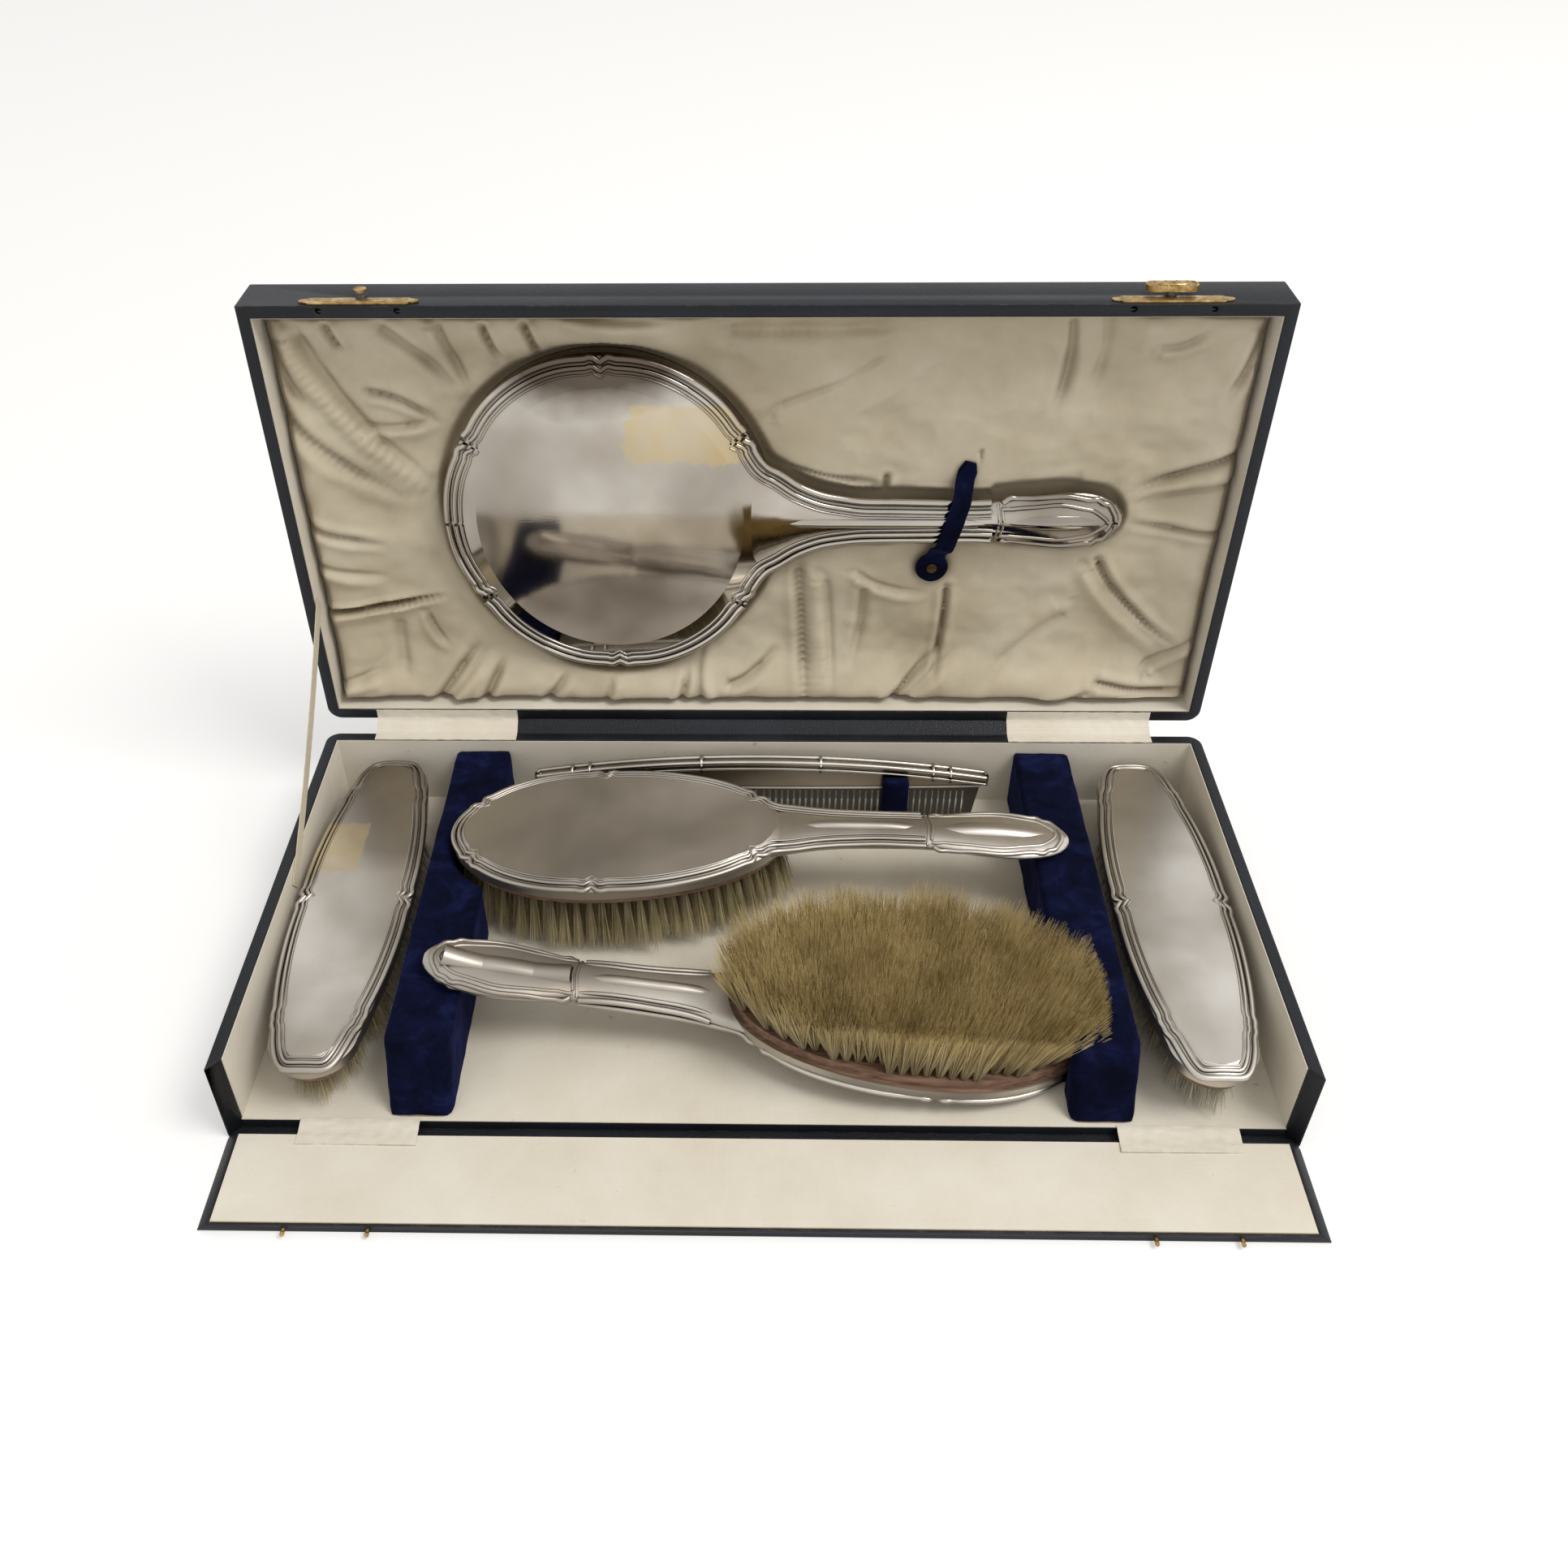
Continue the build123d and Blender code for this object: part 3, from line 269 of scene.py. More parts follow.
# %% Velvet, cotton pile
# Short upright pile: almost black when looked into, and a blue rim of light where it turns away.
def make_velvet():
    material, tree, shader, place = finish_start(
        "Cotton velvet, pile", Roughness=0.95, Sheen_Weight=0.3, Sheen_Roughness=0.3,
        Sheen_Tint="#4a53a6", IOR=1.4, Specular_IOR_Level=0.08)
    crushed = add(tree, "TexNoise", {"Vector": place, "Scale": 1 / (14 * MM), "Detail": 5,
                                     "Roughness": 0.65, "Distortion": 0.6})
    colour = add(tree, "ValToRGB", {0: crushed}, ((0.35, "#080a1b"), (0.52, "#0d112c"), (0.72, "#1a2149")))
    pile = add(tree, "TexNoise", {"Vector": place, "Scale": 1 / (0.8 * MM), "Detail": 2})
    relief = add(tree, "Bump", {"Height": pile, "Distance": 0.35 * MM, "Strength": 0.7})
    join(tree, shader, Base_Color=colour, Normal=relief)
    return material


# %% Silver, stamped and tarnished
# Thin stamped sheet, polished and then left: bright on the high lines, brown and grey in between.
# Old gummed tape has left a yellow mark with a torn edge on two of the pieces.
def gum_mask(tree, place, low, high):
    """1 within the box from low to high, with a ragged edge and a thin middle."""
    middle = [(a + b) / 2 for a, b in zip(low, high)]
    half = [max(abs(b - a) / 2, MM) for a, b in zip(low, high)]
    shift = add(tree, "VectorMath", {0: place, 1: middle}, operation="SUBTRACT")
    scaled = add(tree, "VectorMath", {0: shift, 1: half}, operation="DIVIDE")
    size = add(tree, "VectorMath", {0: scaled}, operation="ABSOLUTE")
    axes = add(tree, "SeparateXYZ", {0: size}).outputs
    far = add(tree, "Math", {0: axes[0], 1: axes[1]}, operation="MAXIMUM")
    far = add(tree, "Math", {0: far, 1: axes[2]}, operation="MAXIMUM")
    rags = add(tree, "TexNoise", {"Vector": place, "Scale": 1 / (13 * MM), "Detail": 5, "Roughness": 0.6})
    torn = add(tree, "Math", {0: rags, 1: 0.8, 2: far}, operation="MULTIPLY_ADD")
    wear = add(tree, "TexNoise", {"Vector": place, "Scale": 1 / (9 * MM), "Detail": 4})
    thin = add(tree, "MapRange", {0: wear, 1: 0.3, 2: 0.7, 3: 0.3, 4: 0.6})
    gum = add(tree, "MapRange", {0: torn, 1: 1.32, 2: 1.24})
    return add(tree, "Math", {0: gum, 1: thin}, operation="MULTIPLY")


def make_silver(name, patch=None, dark=None, polish=0.2):
    """patch is (corner, corner) of gummed tape, dark is (centre, reach, share) of a darker zone: heavier
    tarnish on the left clothes brush, a painted dark reflection on the hand mirror.
    """
    material, tree, shader, place = finish_start(name, Metallic=1.0, Roughness=0.28)
    # mottle: broad light and dark patches, partly tarnish film and partly a painted reflection of the room,
    # since the world that the silver reflects is plain white.
    mottle = add(tree, "TexNoise", {"Vector": place, "Scale": 1 / (75 * MM), "Detail": 3, "Roughness": 0.45,
                                  "Distortion": 0.3})
    base = add(tree, "ValToRGB", {0: mottle}, ((0.3, "#8f877d"), (0.45, "#aaa399"), (0.58, "#c3bdb4"),
                                             (0.72, "#d9d4cc")))
    haze = add(tree, "TexNoise", {"Vector": place, "Scale": 1 / (24 * MM), "Detail": 6, "Roughness": 0.6})
    bloom = add(tree, "MapRange", {0: haze, 1: 0.5, 2: 0.8, 4: 0.35})
    base = add(tree, "Mix", {0: bloom, 6: base, 7: "#a08f79"}, data_type="RGBA").outputs[2]
    # The dark zone mixes in a dark brown. On the hand mirror it is a painted reflection of the dark room
    # along the top of its back, on the left clothes brush heavier tarnish near the tape mark, and on the
    # comb mount a darker tone over the whole mount.
    if dark:
        centre, reach, share = dark
        away = add(tree, "VectorMath", {0: place, 1: centre}, operation="DISTANCE").outputs[1]
        shore = add(tree, "TexNoise", {"Vector": place, "Scale": 1 / (20 * MM), "Detail": 3})
        wavy = add(tree, "Math", {0: shore, 1: 12 * MM, 2: away}, operation="MULTIPLY_ADD")
        near = add(tree, "MapRange", {0: wavy, 1: reach + 6 * MM, 2: reach - 8 * MM, 4: share})
        base = add(tree, "Mix", {0: near, 6: base, 7: "#54483c"}, data_type="RGBA").outputs[2]
    dots = add(tree, "TexNoise", {"Vector": place, "Scale": 1 / (4.5 * MM), "Detail": 8, "Roughness": 0.75})
    specks = add(tree, "MapRange", {0: dots, 1: 0.69, 2: 0.76, 4: 0.5})
    base = add(tree, "Mix", {0: specks, 6: base, 7: "#5b5048"}, data_type="RGBA").outputs[2]
    rough = add(tree, "MapRange", {0: mottle, 1: 0.3, 2: 0.75, 3: polish * 1.7, 4: polish})
    if patch:
        gum = gum_mask(tree, place, *patch)
        base = add(tree, "Mix", {0: gum, 6: base, 7: "#cdb680"}, data_type="RGBA").outputs[2]
        rough = add(tree, "Math", {0: gum, 1: 0.25, 2: rough}, operation="MULTIPLY_ADD")
    groove = add(tree, "AmbientOcclusion", {"Distance": 2.2 * MM}, samples=6).outputs["AO"]
    dirt = add(tree, "MapRange", {0: groove, 1: 0.42, 2: 0.88, 3: 0.95, 4: 0.0})
    colour = add(tree, "Mix", {0: dirt, 6: base, 7: "#2e2823"}, data_type="RGBA").outputs[2]
    along = add(tree, "Mapping", {"Vector": place, "Scale": (0.12, 1, 1)})
    scratches = add(tree, "TexNoise", {"Vector": along, "Scale": 1 / (0.6 * MM), "Detail": 2})
    dents = add(tree, "TexNoise", {"Vector": place, "Scale": 1 / (40 * MM), "Detail": 2})
    uneven = add(tree, "Bump", {"Height": dents, "Distance": 0.3 * MM, "Strength": 0.35})
    relief = add(tree, "Bump", {"Height": scratches, "Distance": 0.01 * MM, "Strength": 0.3,
                                "Normal": uneven})
    join(tree, shader, Base_Color=colour, Roughness=rough, Normal=relief)
    return material


# %% Bristle, boar
# Natural boar bristle: cream to olive brown, each one a little different. Each bristle is painted darker
# towards its root, a painted shade for the inside of the tufts.
def make_bristle(name, pale, middle, deep):
    material, tree, shader, place = finish_start(name, Roughness=0.5, IOR=1.55, Sheen_Weight=0.15)
    tint = add(tree, "Attribute", attribute_name="strand").outputs["Fac"]
    tints = add(tree, "TexNoise", {"Vector": place, "Scale": 1 / (16 * MM), "Detail": 4, "Roughness": 0.6})
    mixed = add(tree, "Math", {0: tint, 1: 0.55, 2: tints}, operation="MULTIPLY_ADD")
    colour = add(tree, "ValToRGB", {0: mixed}, ((0.35, deep), (0.68, middle), (0.95, pale)))
    # Painted shade: the lower three quarters of each bristle are mixed towards dark brown, most at the
    # root.
    root = add(tree, "Attribute", attribute_name="height").outputs["Fac"]
    low = add(tree, "MapRange", {0: root, 1: 0.0, 2: 0.75, 3: 0.85, 4: 0.0})
    colour = add(tree, "Mix", {0: low, 6: colour, 7: "#3d2e1b"}, data_type="RGBA").outputs[2]
    join(tree, shader, Base_Color=colour)
    return material


# %% Wood, brass, steel, vulcanite and the rest
def make_wood():
    """Pearwood, turned, oiled and dry: fine grain along the brush."""
    material, tree, shader, place = finish_start("Pearwood, oiled", Roughness=0.55, IOR=1.5)
    along = add(tree, "Mapping", {"Vector": place, "Scale": (0.07, 1, 1)})
    grain = add(tree, "TexNoise", {"Vector": along, "Scale": 1 / (1.6 * MM), "Detail": 6, "Roughness": 0.6,
                                   "Distortion": 0.3})
    colour = add(tree, "ValToRGB", {0: grain}, ((0.3, "#553f30"), (0.5, "#765947"), (0.72, "#957862")))
    relief = add(tree, "Bump", {"Height": grain, "Distance": 0.05 * MM, "Strength": 0.4})
    join(tree, shader, Base_Color=colour, Normal=relief)
    return material


def make_brass():
    """Stamped brass that was gilt: yellow on the high parts, brown where the lacquer failed."""
    material, tree, shader, place = finish_start(
        "Brass, stamped and lacquered", Metallic=1.0, Roughness=0.36)
    mottle = add(tree, "TexNoise", {"Vector": place, "Scale": 1 / (4 * MM), "Detail": 6, "Roughness": 0.65})
    base = add(tree, "ValToRGB", {0: mottle}, ((0.3, "#77603a"), (0.5, "#a98b57"), (0.7, "#d3bb86")))
    groove = add(tree, "AmbientOcclusion", {"Distance": 1.2 * MM}, samples=6).outputs["AO"]
    dirt = add(tree, "MapRange", {0: groove, 1: 0.3, 2: 0.85, 3: 0.8, 4: 0.0})
    colour = add(tree, "Mix", {0: dirt, 6: base, 7: "#3a2812"}, data_type="RGBA").outputs[2]
    rough = add(tree, "MapRange", {0: mottle, 1: 0.3, 2: 0.7, 3: 0.5, 4: 0.28})
    join(tree, shader, Base_Color=colour, Roughness=rough)
    return material


def make_metal(name, low, high, rough):
    """Small bare metal part with fine drawn lines."""
    material, tree, shader, place = finish_start(name, Metallic=1.0, Roughness=rough)
    along = add(tree, "Mapping", {"Vector": place, "Scale": (0.1, 1, 1)})
    lines = add(tree, "TexNoise", {"Vector": along, "Scale": 1 / (0.5 * MM), "Detail": 3})
    colour = add(tree, "ValToRGB", {0: lines}, ((0.3, low), (0.7, high)))
    relief = add(tree, "Bump", {"Height": lines, "Distance": 0.02 * MM, "Strength": 0.3})
    join(tree, shader, Base_Color=colour, Normal=relief)
    return material


def make_vulcanite():
    """Hard rubber, sawn and polished: black with a brown bloom of age."""
    material, tree, shader, place = finish_start("Vulcanite, polished", Roughness=0.28, IOR=1.6)
    bloom = add(tree, "TexNoise", {"Vector": place, "Scale": 1 / (18 * MM), "Detail": 4})
    colour = add(tree, "ValToRGB", {0: bloom}, ((0.35, "#141210"), (0.7, "#2b231b")))
    rough = add(tree, "MapRange", {0: bloom, 1: 0.3, 2: 0.7, 3: 0.22, 4: 0.42})
    join(tree, shader, Base_Color=colour, Roughness=rough)
    return material


def make_glass():
    """Silvered plate glass, aged: bright, with dark specks where the silvering failed."""
    material, tree, shader, place = finish_start("Silvered plate glass", Metallic=1.0, Roughness=0.03)
    age = add(tree, "TexNoise", {"Vector": place, "Scale": 1 / (3 * MM), "Detail": 6, "Roughness": 0.7})
    spots = add(tree, "MapRange", {0: age, 1: 0.7, 2: 0.75, 4: 0.8})
    colour = add(tree, "Mix", {0: spots, 6: "#e6e9e6", 7: "#50463a"}, data_type="RGBA").outputs[2]
    join(tree, shader, Base_Color=colour)
    return material


def make_board(name, low, high, size):
    """Pressed board or pad: short fibres in a dull mat."""
    material, tree, shader, place = finish_start(name, Roughness=0.85, IOR=1.45)
    fibres = add(tree, "TexNoise", {"Vector": place, "Scale": 1 / size, "Detail": 6, "Roughness": 0.7})
    colour = add(tree, "ValToRGB", {0: fibres}, ((0.35, low), (0.7, high)))
    relief = add(tree, "Bump", {"Height": fibres, "Distance": 0.1 * MM, "Strength": 0.4})
    join(tree, shader, Base_Color=colour, Normal=relief)
    return material


# %% All the finishes, by the slot that they fill
finishes = {
    "leathercloth": make_leathercloth(),
    "lining_cloth": make_weave(
        "Glazed cotton, plain weave", "#ebe5d8", "#dfd7c7", "#a8946e", 0.9 * MM, 0.75, 0.1),
    "ribbon": make_weave(
        "Cotton ribbon, woven", "#dcd4c0", "#cbbfa3", "#9a8862", 0.7 * MM, 0.6, 0.25),
    "silk": make_silk(),
    "velvet": make_velvet(),
    "silver": make_silver("Silver, stamped and tarnished"),
    "brush_wood": make_wood(),
    "brass": make_brass(),
    "bristle": make_bristle("Boar bristle, cream", "#c9bb95", "#a08f63", "#5f4f31"),
    "comb_plastic": make_vulcanite(),
    "mirror_glass": make_glass(),
    "spring_steel": make_metal("Spring steel, blued", "#3a3b40", "#5c5e63", 0.4),
    "press_stud": make_metal("Brass, blackened", "#3b2c1c", "#6d5636", 0.45),
    "case_board": make_board("Pasteboard, pressed", "#8d7a5c", "#b29c79", 3 * MM),
    "packing": make_board("Felt packing, pressed", "#6b6458", "#8c8374", 4 * MM),
}
for node in nodes.values():
    slots = node.data.materials
    slot = slots[0].name.split(".")[0]
    slots[0] = finishes[slot]
print(len(finishes), "finishes")

# %% [markdown]
# ## Working on meshes
#
# New pieces are modelled as by hand: a primitive is placed, its points are moved, and modifiers
# finish it. Soft parts of the case start from a copy of their solid, whose edges are then rounded,
# because covered board has no sharp edge anywhere.


# %% Selecting and finishing
def only(piece):
    """Selects one object and makes it active."""
    bpy.ops.object.select_all(action="DESELECT")
    piece.select_set(True)
    bpy.context.view_layer.objects.active = piece


def born(name):
    """Names the object that an operator has just made."""
    piece = bpy.context.object
    piece.name = name
    piece.data.name = name
    return piece


def applied(piece, kind, **settings):
    """Adds a modifier with its settings and applies it."""
    only(piece)
    modifier = piece.modifiers.new(kind.title(), kind)
    for key, value in settings.items():
        setattr(modifier, key, value)
    bpy.ops.object.modifier_apply(modifier=modifier.name)


def smooth(piece, degrees=40):
    """Shades a piece smooth, except across edges sharper than this angle."""
    only(piece)
    bpy.ops.object.shade_smooth_by_angle(angle=math.radians(degrees), keep_sharp_edges=False)


def outward(piece):
    """Turns all the faces of a closed piece outwards."""
    only(piece)
    bpy.ops.object.mode_set(mode="EDIT")
    bpy.ops.mesh.select_all(action="SELECT")
    bpy.ops.mesh.normals_make_consistent(inside=False)
    bpy.ops.object.mode_set(mode="OBJECT")


def dressed(piece, slot, material=None):
    """Gives a piece the finish of a slot, or its own material in that slot."""
    piece.data.materials.clear()
    piece.data.materials.append(material or finishes[slot])


def finish(piece, body, slot, *replaced, material=None):
    """Gives a piece its finish, its body and the solids that it stands for."""
    dressed(piece, slot, material)
    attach(piece, body)
    if replaced:
        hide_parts(*replaced)


def joined(name, pieces):
    """Joins objects into the first one."""
    only(pieces[0])
    for piece in pieces:
        piece.select_set(True)
    if len(pieces) > 1:
        bpy.ops.object.join()
    return born(name)


def copied(name, node, flat=2.0):
    """A copy of a solid with its loose triangles merged into clean faces."""
    mesh = nodes[node].data.copy()
    piece = bpy.data.objects.new(name, mesh)
    bpy.context.collection.objects.link(piece)
    only(piece)
    mesh.name = name
    bpy.ops.object.mode_set(mode="EDIT")
    bpy.ops.mesh.select_all(action="SELECT")
    bpy.ops.mesh.remove_doubles(threshold=0.005 * MM)
    bpy.ops.mesh.dissolve_limited(angle_limit=math.radians(flat))
    bpy.ops.object.mode_set(mode="OBJECT")
    return piece


# %% [markdown]
# ## Velvet racks and posts
#
# The racks are wooden blocks with velvet glued round them. The pile rounds every edge by about a
# millimetre and never lies quite flat, so each copy gets a bevel, a fine cut-up of its faces and a
# small push in and out. A texture alone would leave the outline as sharp as sawn wood.

# %% Racks and posts
def soft_copy(name, node, width, cell, push, seed, core=None):
    """A solid's copy, with its core if it is a thin cover, with rounded edges and an uneven face."""
    piece = copied(name, node)
    applied(piece, "BEVEL", width=width, segments=3, limit_method="ANGLE", angle_limit=math.radians(35))
    if core:
        piece = joined(name, [piece, copied("core", core)])
    applied(piece, "REMESH", mode="VOXEL", voxel_size=cell, adaptivity=0.0)
    for vertex in piece.data.vertices:
        spot = vertex.co * (1 / (9 * MM)) + Vector((seed, 0, 0))
        vertex.co += vertex.normal * (noise.noise(spot) + 0.5 * noise.noise(spot * 2.3) - 0.4) * push
    applied(piece, "SMOOTH", factor=0.5, iterations=3)
    smooth(piece, 60)
    return piece


for seed, side in enumerate(("left", "right")):
    rack = soft_copy(
        f"{side}_rack_pile", f"{side}_rack_velvet", 1.2 * MM, 1.4 * MM, 0.3 * MM, seed * 7,
        core=f"{side}_rack_block")
    finish(rack, "tray", "velvet", f"{side}_rack_velvet")
    print(rack.name, len(rack.data.polygons), "faces")
posts = soft_copy("comb_post_pile", "comb_posts", 0.8 * MM, 0.9 * MM, 0.2 * MM, 3)
finish(posts, "tray", "velvet", "comb_posts")
print(posts.name, len(posts.data.polygons), "faces")

# %% [markdown]
# ## Silver frames
#
# A brush or mirror is easiest to work on lying flat, with its length along x and its silver upwards.
# A matrix then takes every point to where the piece lies in the case. The raised borders need the
# height of the silver under them, so a ray is dropped on the solid from above.

# %% Where each silver piece lies
# A head is (length, width, how far from its tip it is widest), all in mm.
HAIR_HEAD, HAIR_LENGTH, HAIR_GRIP = (142, 75, 62), 260, 27
MIRROR_HEAD, MIRROR_LENGTH, MIRROR_GRIP = (138, 148, 69), 285, 26
MIRROR_TIP_X, MIRROR_AXIS_Z = -133.25, 141.7
CLOTHES_SIZE = (178, 46.4)


def lying(x, y, z, *turns):
    """A frame at a point in mm, turned in order by (degrees, axis) pairs."""
    matrix = Matrix.Translation(Vector((x, y, z)) * MM)
    for angle, axis in turns:
        matrix = matrix @ Matrix.Rotation(math.radians(angle), 4, axis)
    return matrix


places = {
    "rear_hair_brush": lying(-130.6, 29.5, 42.5, (-1.67, "Y")),
    "front_hair_brush": lying(128, -52.5, 5.5, (-1.8, "Z"), (185.16, "Y")),
    "left_clothes_brush": lying(-167.4, -91.2, 33.5, (90, "Z")),
    "right_clothes_brush": lying(167.4, -91.2, 33.5, (90, "Z")),
    "hand_mirror": lying(MIRROR_TIP_X, 111.1, MIRROR_AXIS_Z, (90, "X")),
}
silvers = {name: name + "_silver_back" for name in places}
silvers["hand_mirror"] = "mirror_silver_back"


BESIDE = -3.0  # height in mm that stands for a point beside the silver


def ground(name, under=False):
    """A function that gives the height in mm of the silver's upper or under face at a plan point."""
    start, way = (-60, 1) if under else (60, -1)
    inverse = places[name].inverted()
    mesh = nodes[silvers[name]].data
    points = [inverse @ v.co for v in mesh.vertices]
    surface = BVHTree.FromPolygons(points, [list(p.vertices) for p in mesh.polygons])

    def height(u, v):
        for step in range(12):
            inward = 1 - 0.01 * step
            hit = surface.ray_cast(Vector((u, v * inward, start)) * MM, Vector((0, 0, way)))[0]
            if hit:
                return hit.z / MM
        return BESIDE
    return height


grounds = {(name, False): ground(name) for name in places}
grounds["front_hair_brush", True] = ground("front_hair_brush", True)
print({face: round(height(200, 0), 2) for face, height in grounds.items()})

# %% [markdown]
# ## Reeded borders
#
# Reeding is a bundle of half-round ribs that follows the edge and breaks at small bracket-shaped
# notches. Each rib is drawn as a line a fixed distance inside the outline, lobed between its
# notches, dropped on to the silver and given a round section. Ribs that overlap a little read as
# one stamped moulding.


# %% Outlines
def egg_edge(head, angle):
    """Plan point on a head's edge, (0, 0) being its tip: angle 180 is the tip, 0 the handle end."""
    length, width, blunt = head
    c, s = math.cos(math.radians(angle)), math.sin(math.radians(angle))
    return Vector((blunt + c * (length - blunt if c > 0 else blunt), s * width / 2))


def between(rows, u):
    """Smooth interpolation in rows of (u, value)."""
    for (u0, a), (u1, b) in zip(rows, rows[1:]):
        if u <= u1:
            t = max(0.0, (u - u0) / (u1 - u0))
            return a + (b - a) * t * t * (3 - 2 * t)
    return rows[-1][1]


# Half width of each handle in mm, at distances from the head's tip.
HAIR_NECK = [(122, 17.6), (142, 14), (154, 11.4), (164, 10.3), (180, 9.6), (200, 9.8)]
MIRROR_NECK = [(112, 31), (138, 23.5), (150, 14.9), (160, 11), (176, 8.9), (224, 8.4), (232, 8.9)]


def evened(points, step, rounds=0):
    """The same line with points a step apart, smoothed a few times."""
    for _ in range(rounds):
        inner = [(a + b * 2 + c) / 4 for a, b, c in zip(points, points[1:], points[2:])]
        points = [points[0]] + inner + [points[-1]]
    walked, result = 0.0, [points[0].copy()]
    for a, b in zip(points, points[1:]):
        gap = (b - a).length
        while walked + gap >= step * len(result) and gap > 0:
            result.append(a.lerp(b, (step * len(result) - walked) / gap))
        walked += gap
    return result


def handled_edge(head, neck):
    """Edge of a head that runs on along its handle, from one side of the collar to the other."""
    start = neck[-1][0]
    side = []
    for i in range(121):
        spot = egg_edge(head, 180 - i * 1.5)
        if spot.y < between(neck, spot.x) and spot.x > neck[0][0]:
            break
        side.append(spot)
    u = side[-1].x + 2
    while u <= start:
        side.append(Vector((u, between(neck, u))))
        u += 2
    other = [Vector((p.x, -p.y)) for p in side]
    return evened(other[::-1] + side[1:], 1.5, 6)


def inset(line, depth, notches, lobe, closed=False):
    """A line moved inwards by depth, swelling by lobe between notches and nipped in at them."""
    count = len(line)
    moved = []
    for i, point in enumerate(line):
        a = line[(i - 1) % count] if closed or i else point
        b = line[(i + 1) % count] if closed or i < count - 1 else point
        run = (b - a).normalized()
        inward = Vector((run.y, -run.x))
        gaps = [(point - n).length for n in notches] or [99]
        near = min(gaps)
        nip = 1.5 * math.exp(-(near / 1.5) ** 2) - 0.8 * math.exp(-((near - 3.6) / 1.7) ** 2)
        swell = lobe * (1 - math.exp(-(near / 14) ** 2))
        moved.append(point + inward * (depth + nip - swell))
    return moved


# %% Ribs
def rib(name, place, points, radius, closed=False):
    """A round rib along 3-D points in mm, flattened into the piece's own frame."""
    bpy.ops.object.select_all(action="DESELECT")
    bpy.ops.curve.primitive_nurbs_path_add()
    line = born(name)
    line.data.splines.clear()
    spline = line.data.splines.new("POLY")
    spline.points.add(len(points) - 1)
    for spot, point in zip(spline.points, points):
        spot.co = (*(place @ (Vector(point) * MM)), 1)
    spline.use_cyclic_u = closed
    line.data.dimensions = "3D"
    line.data.twist_mode = "Z_UP"
    line.data.bevel_depth = radius * MM
    line.data.bevel_resolution = 2
    line.data.use_fill_caps = not closed
    only(line)
    bpy.ops.object.convert(target="MESH")
    return bpy.context.object


def draped(face, line, sink, probe=None):
    """Plan points set on a (name, under) face, sunk a little, with steps in their heights smoothed."""
    height = grounds[face]
    sink = -sink if face[1] else sink
    tall = [height(p.x, p.y) for p in (probe or line)]
    for _ in range(4):
        tall = [tall[0]] + [(a + b + c) / 3 for a, b, c in zip(tall, tall[1:], tall[2:])] + [tall[-1]]
    return [(p.x, p.y, z - sink) for p, z in zip(line, tall)]


# %% Borders of the mirror and the hair brushes
NOTCH_ANGLES = (90, -90, 150, -150, 32, -32)
# Each rib is (distance inside the edge, radius, how far it is sunk), in mm.
MIRROR_RIBS = [(1.2, 1.6, 0.25), (4.7, 1.2, 0.3), (7.3, 0.5, 0.1)]
HAIR_RIBS = [(0.9, 1.2, 0.2), (3.5, 0.9, 0.25), (5.4, 0.4, 0.1)]
CLOTHES_RIBS = [(1.0, 1.25, 0.35), (3.6, 0.9, 0.3), (5.2, 0.4, 0.1)]


def leaf(length, start, wide, tip_inset):
    """Edge of the broad end of a handle, round its tip, from the collar back to the collar."""
    run = length - start
    shares = ((0, 0.4), (0.2, 0.45), (0.52, 0.5), (0.8, 0.42))
    rows = [(start + run * share, wide * half) for share, half in shares]
    rows.append((length - 2.6, wide * 0.24))
    steps = [start + (run - 2.6) * i / 30 for i in range(31)]
    side = [Vector((u, between(rows, u))) for u in steps]
    side = [Vector((p.x - tip_inset * (p.x - start) / run, max(p.y - tip_inset, 0.6))) for p in side]
    tip = Vector((length - tip_inset, 0))
    other = [Vector((p.x, -p.y)) for p in side[::-1]]
    return evened(side + [tip] + other, 1.2, 3)


def faded(points, ends, under):
    """Sinks a line's ends into the silver, so that the rib on it rises and dies away."""
    depth, reach = ends
    last = len(points) - 1
    result = []
    for i, (u, v, z) in enumerate(points):
        near = max(0.0, 1 - min(i, last - i) / reach)
        result.append((u, v, z + (1 if under else -1) * depth * near ** 2))
    return result


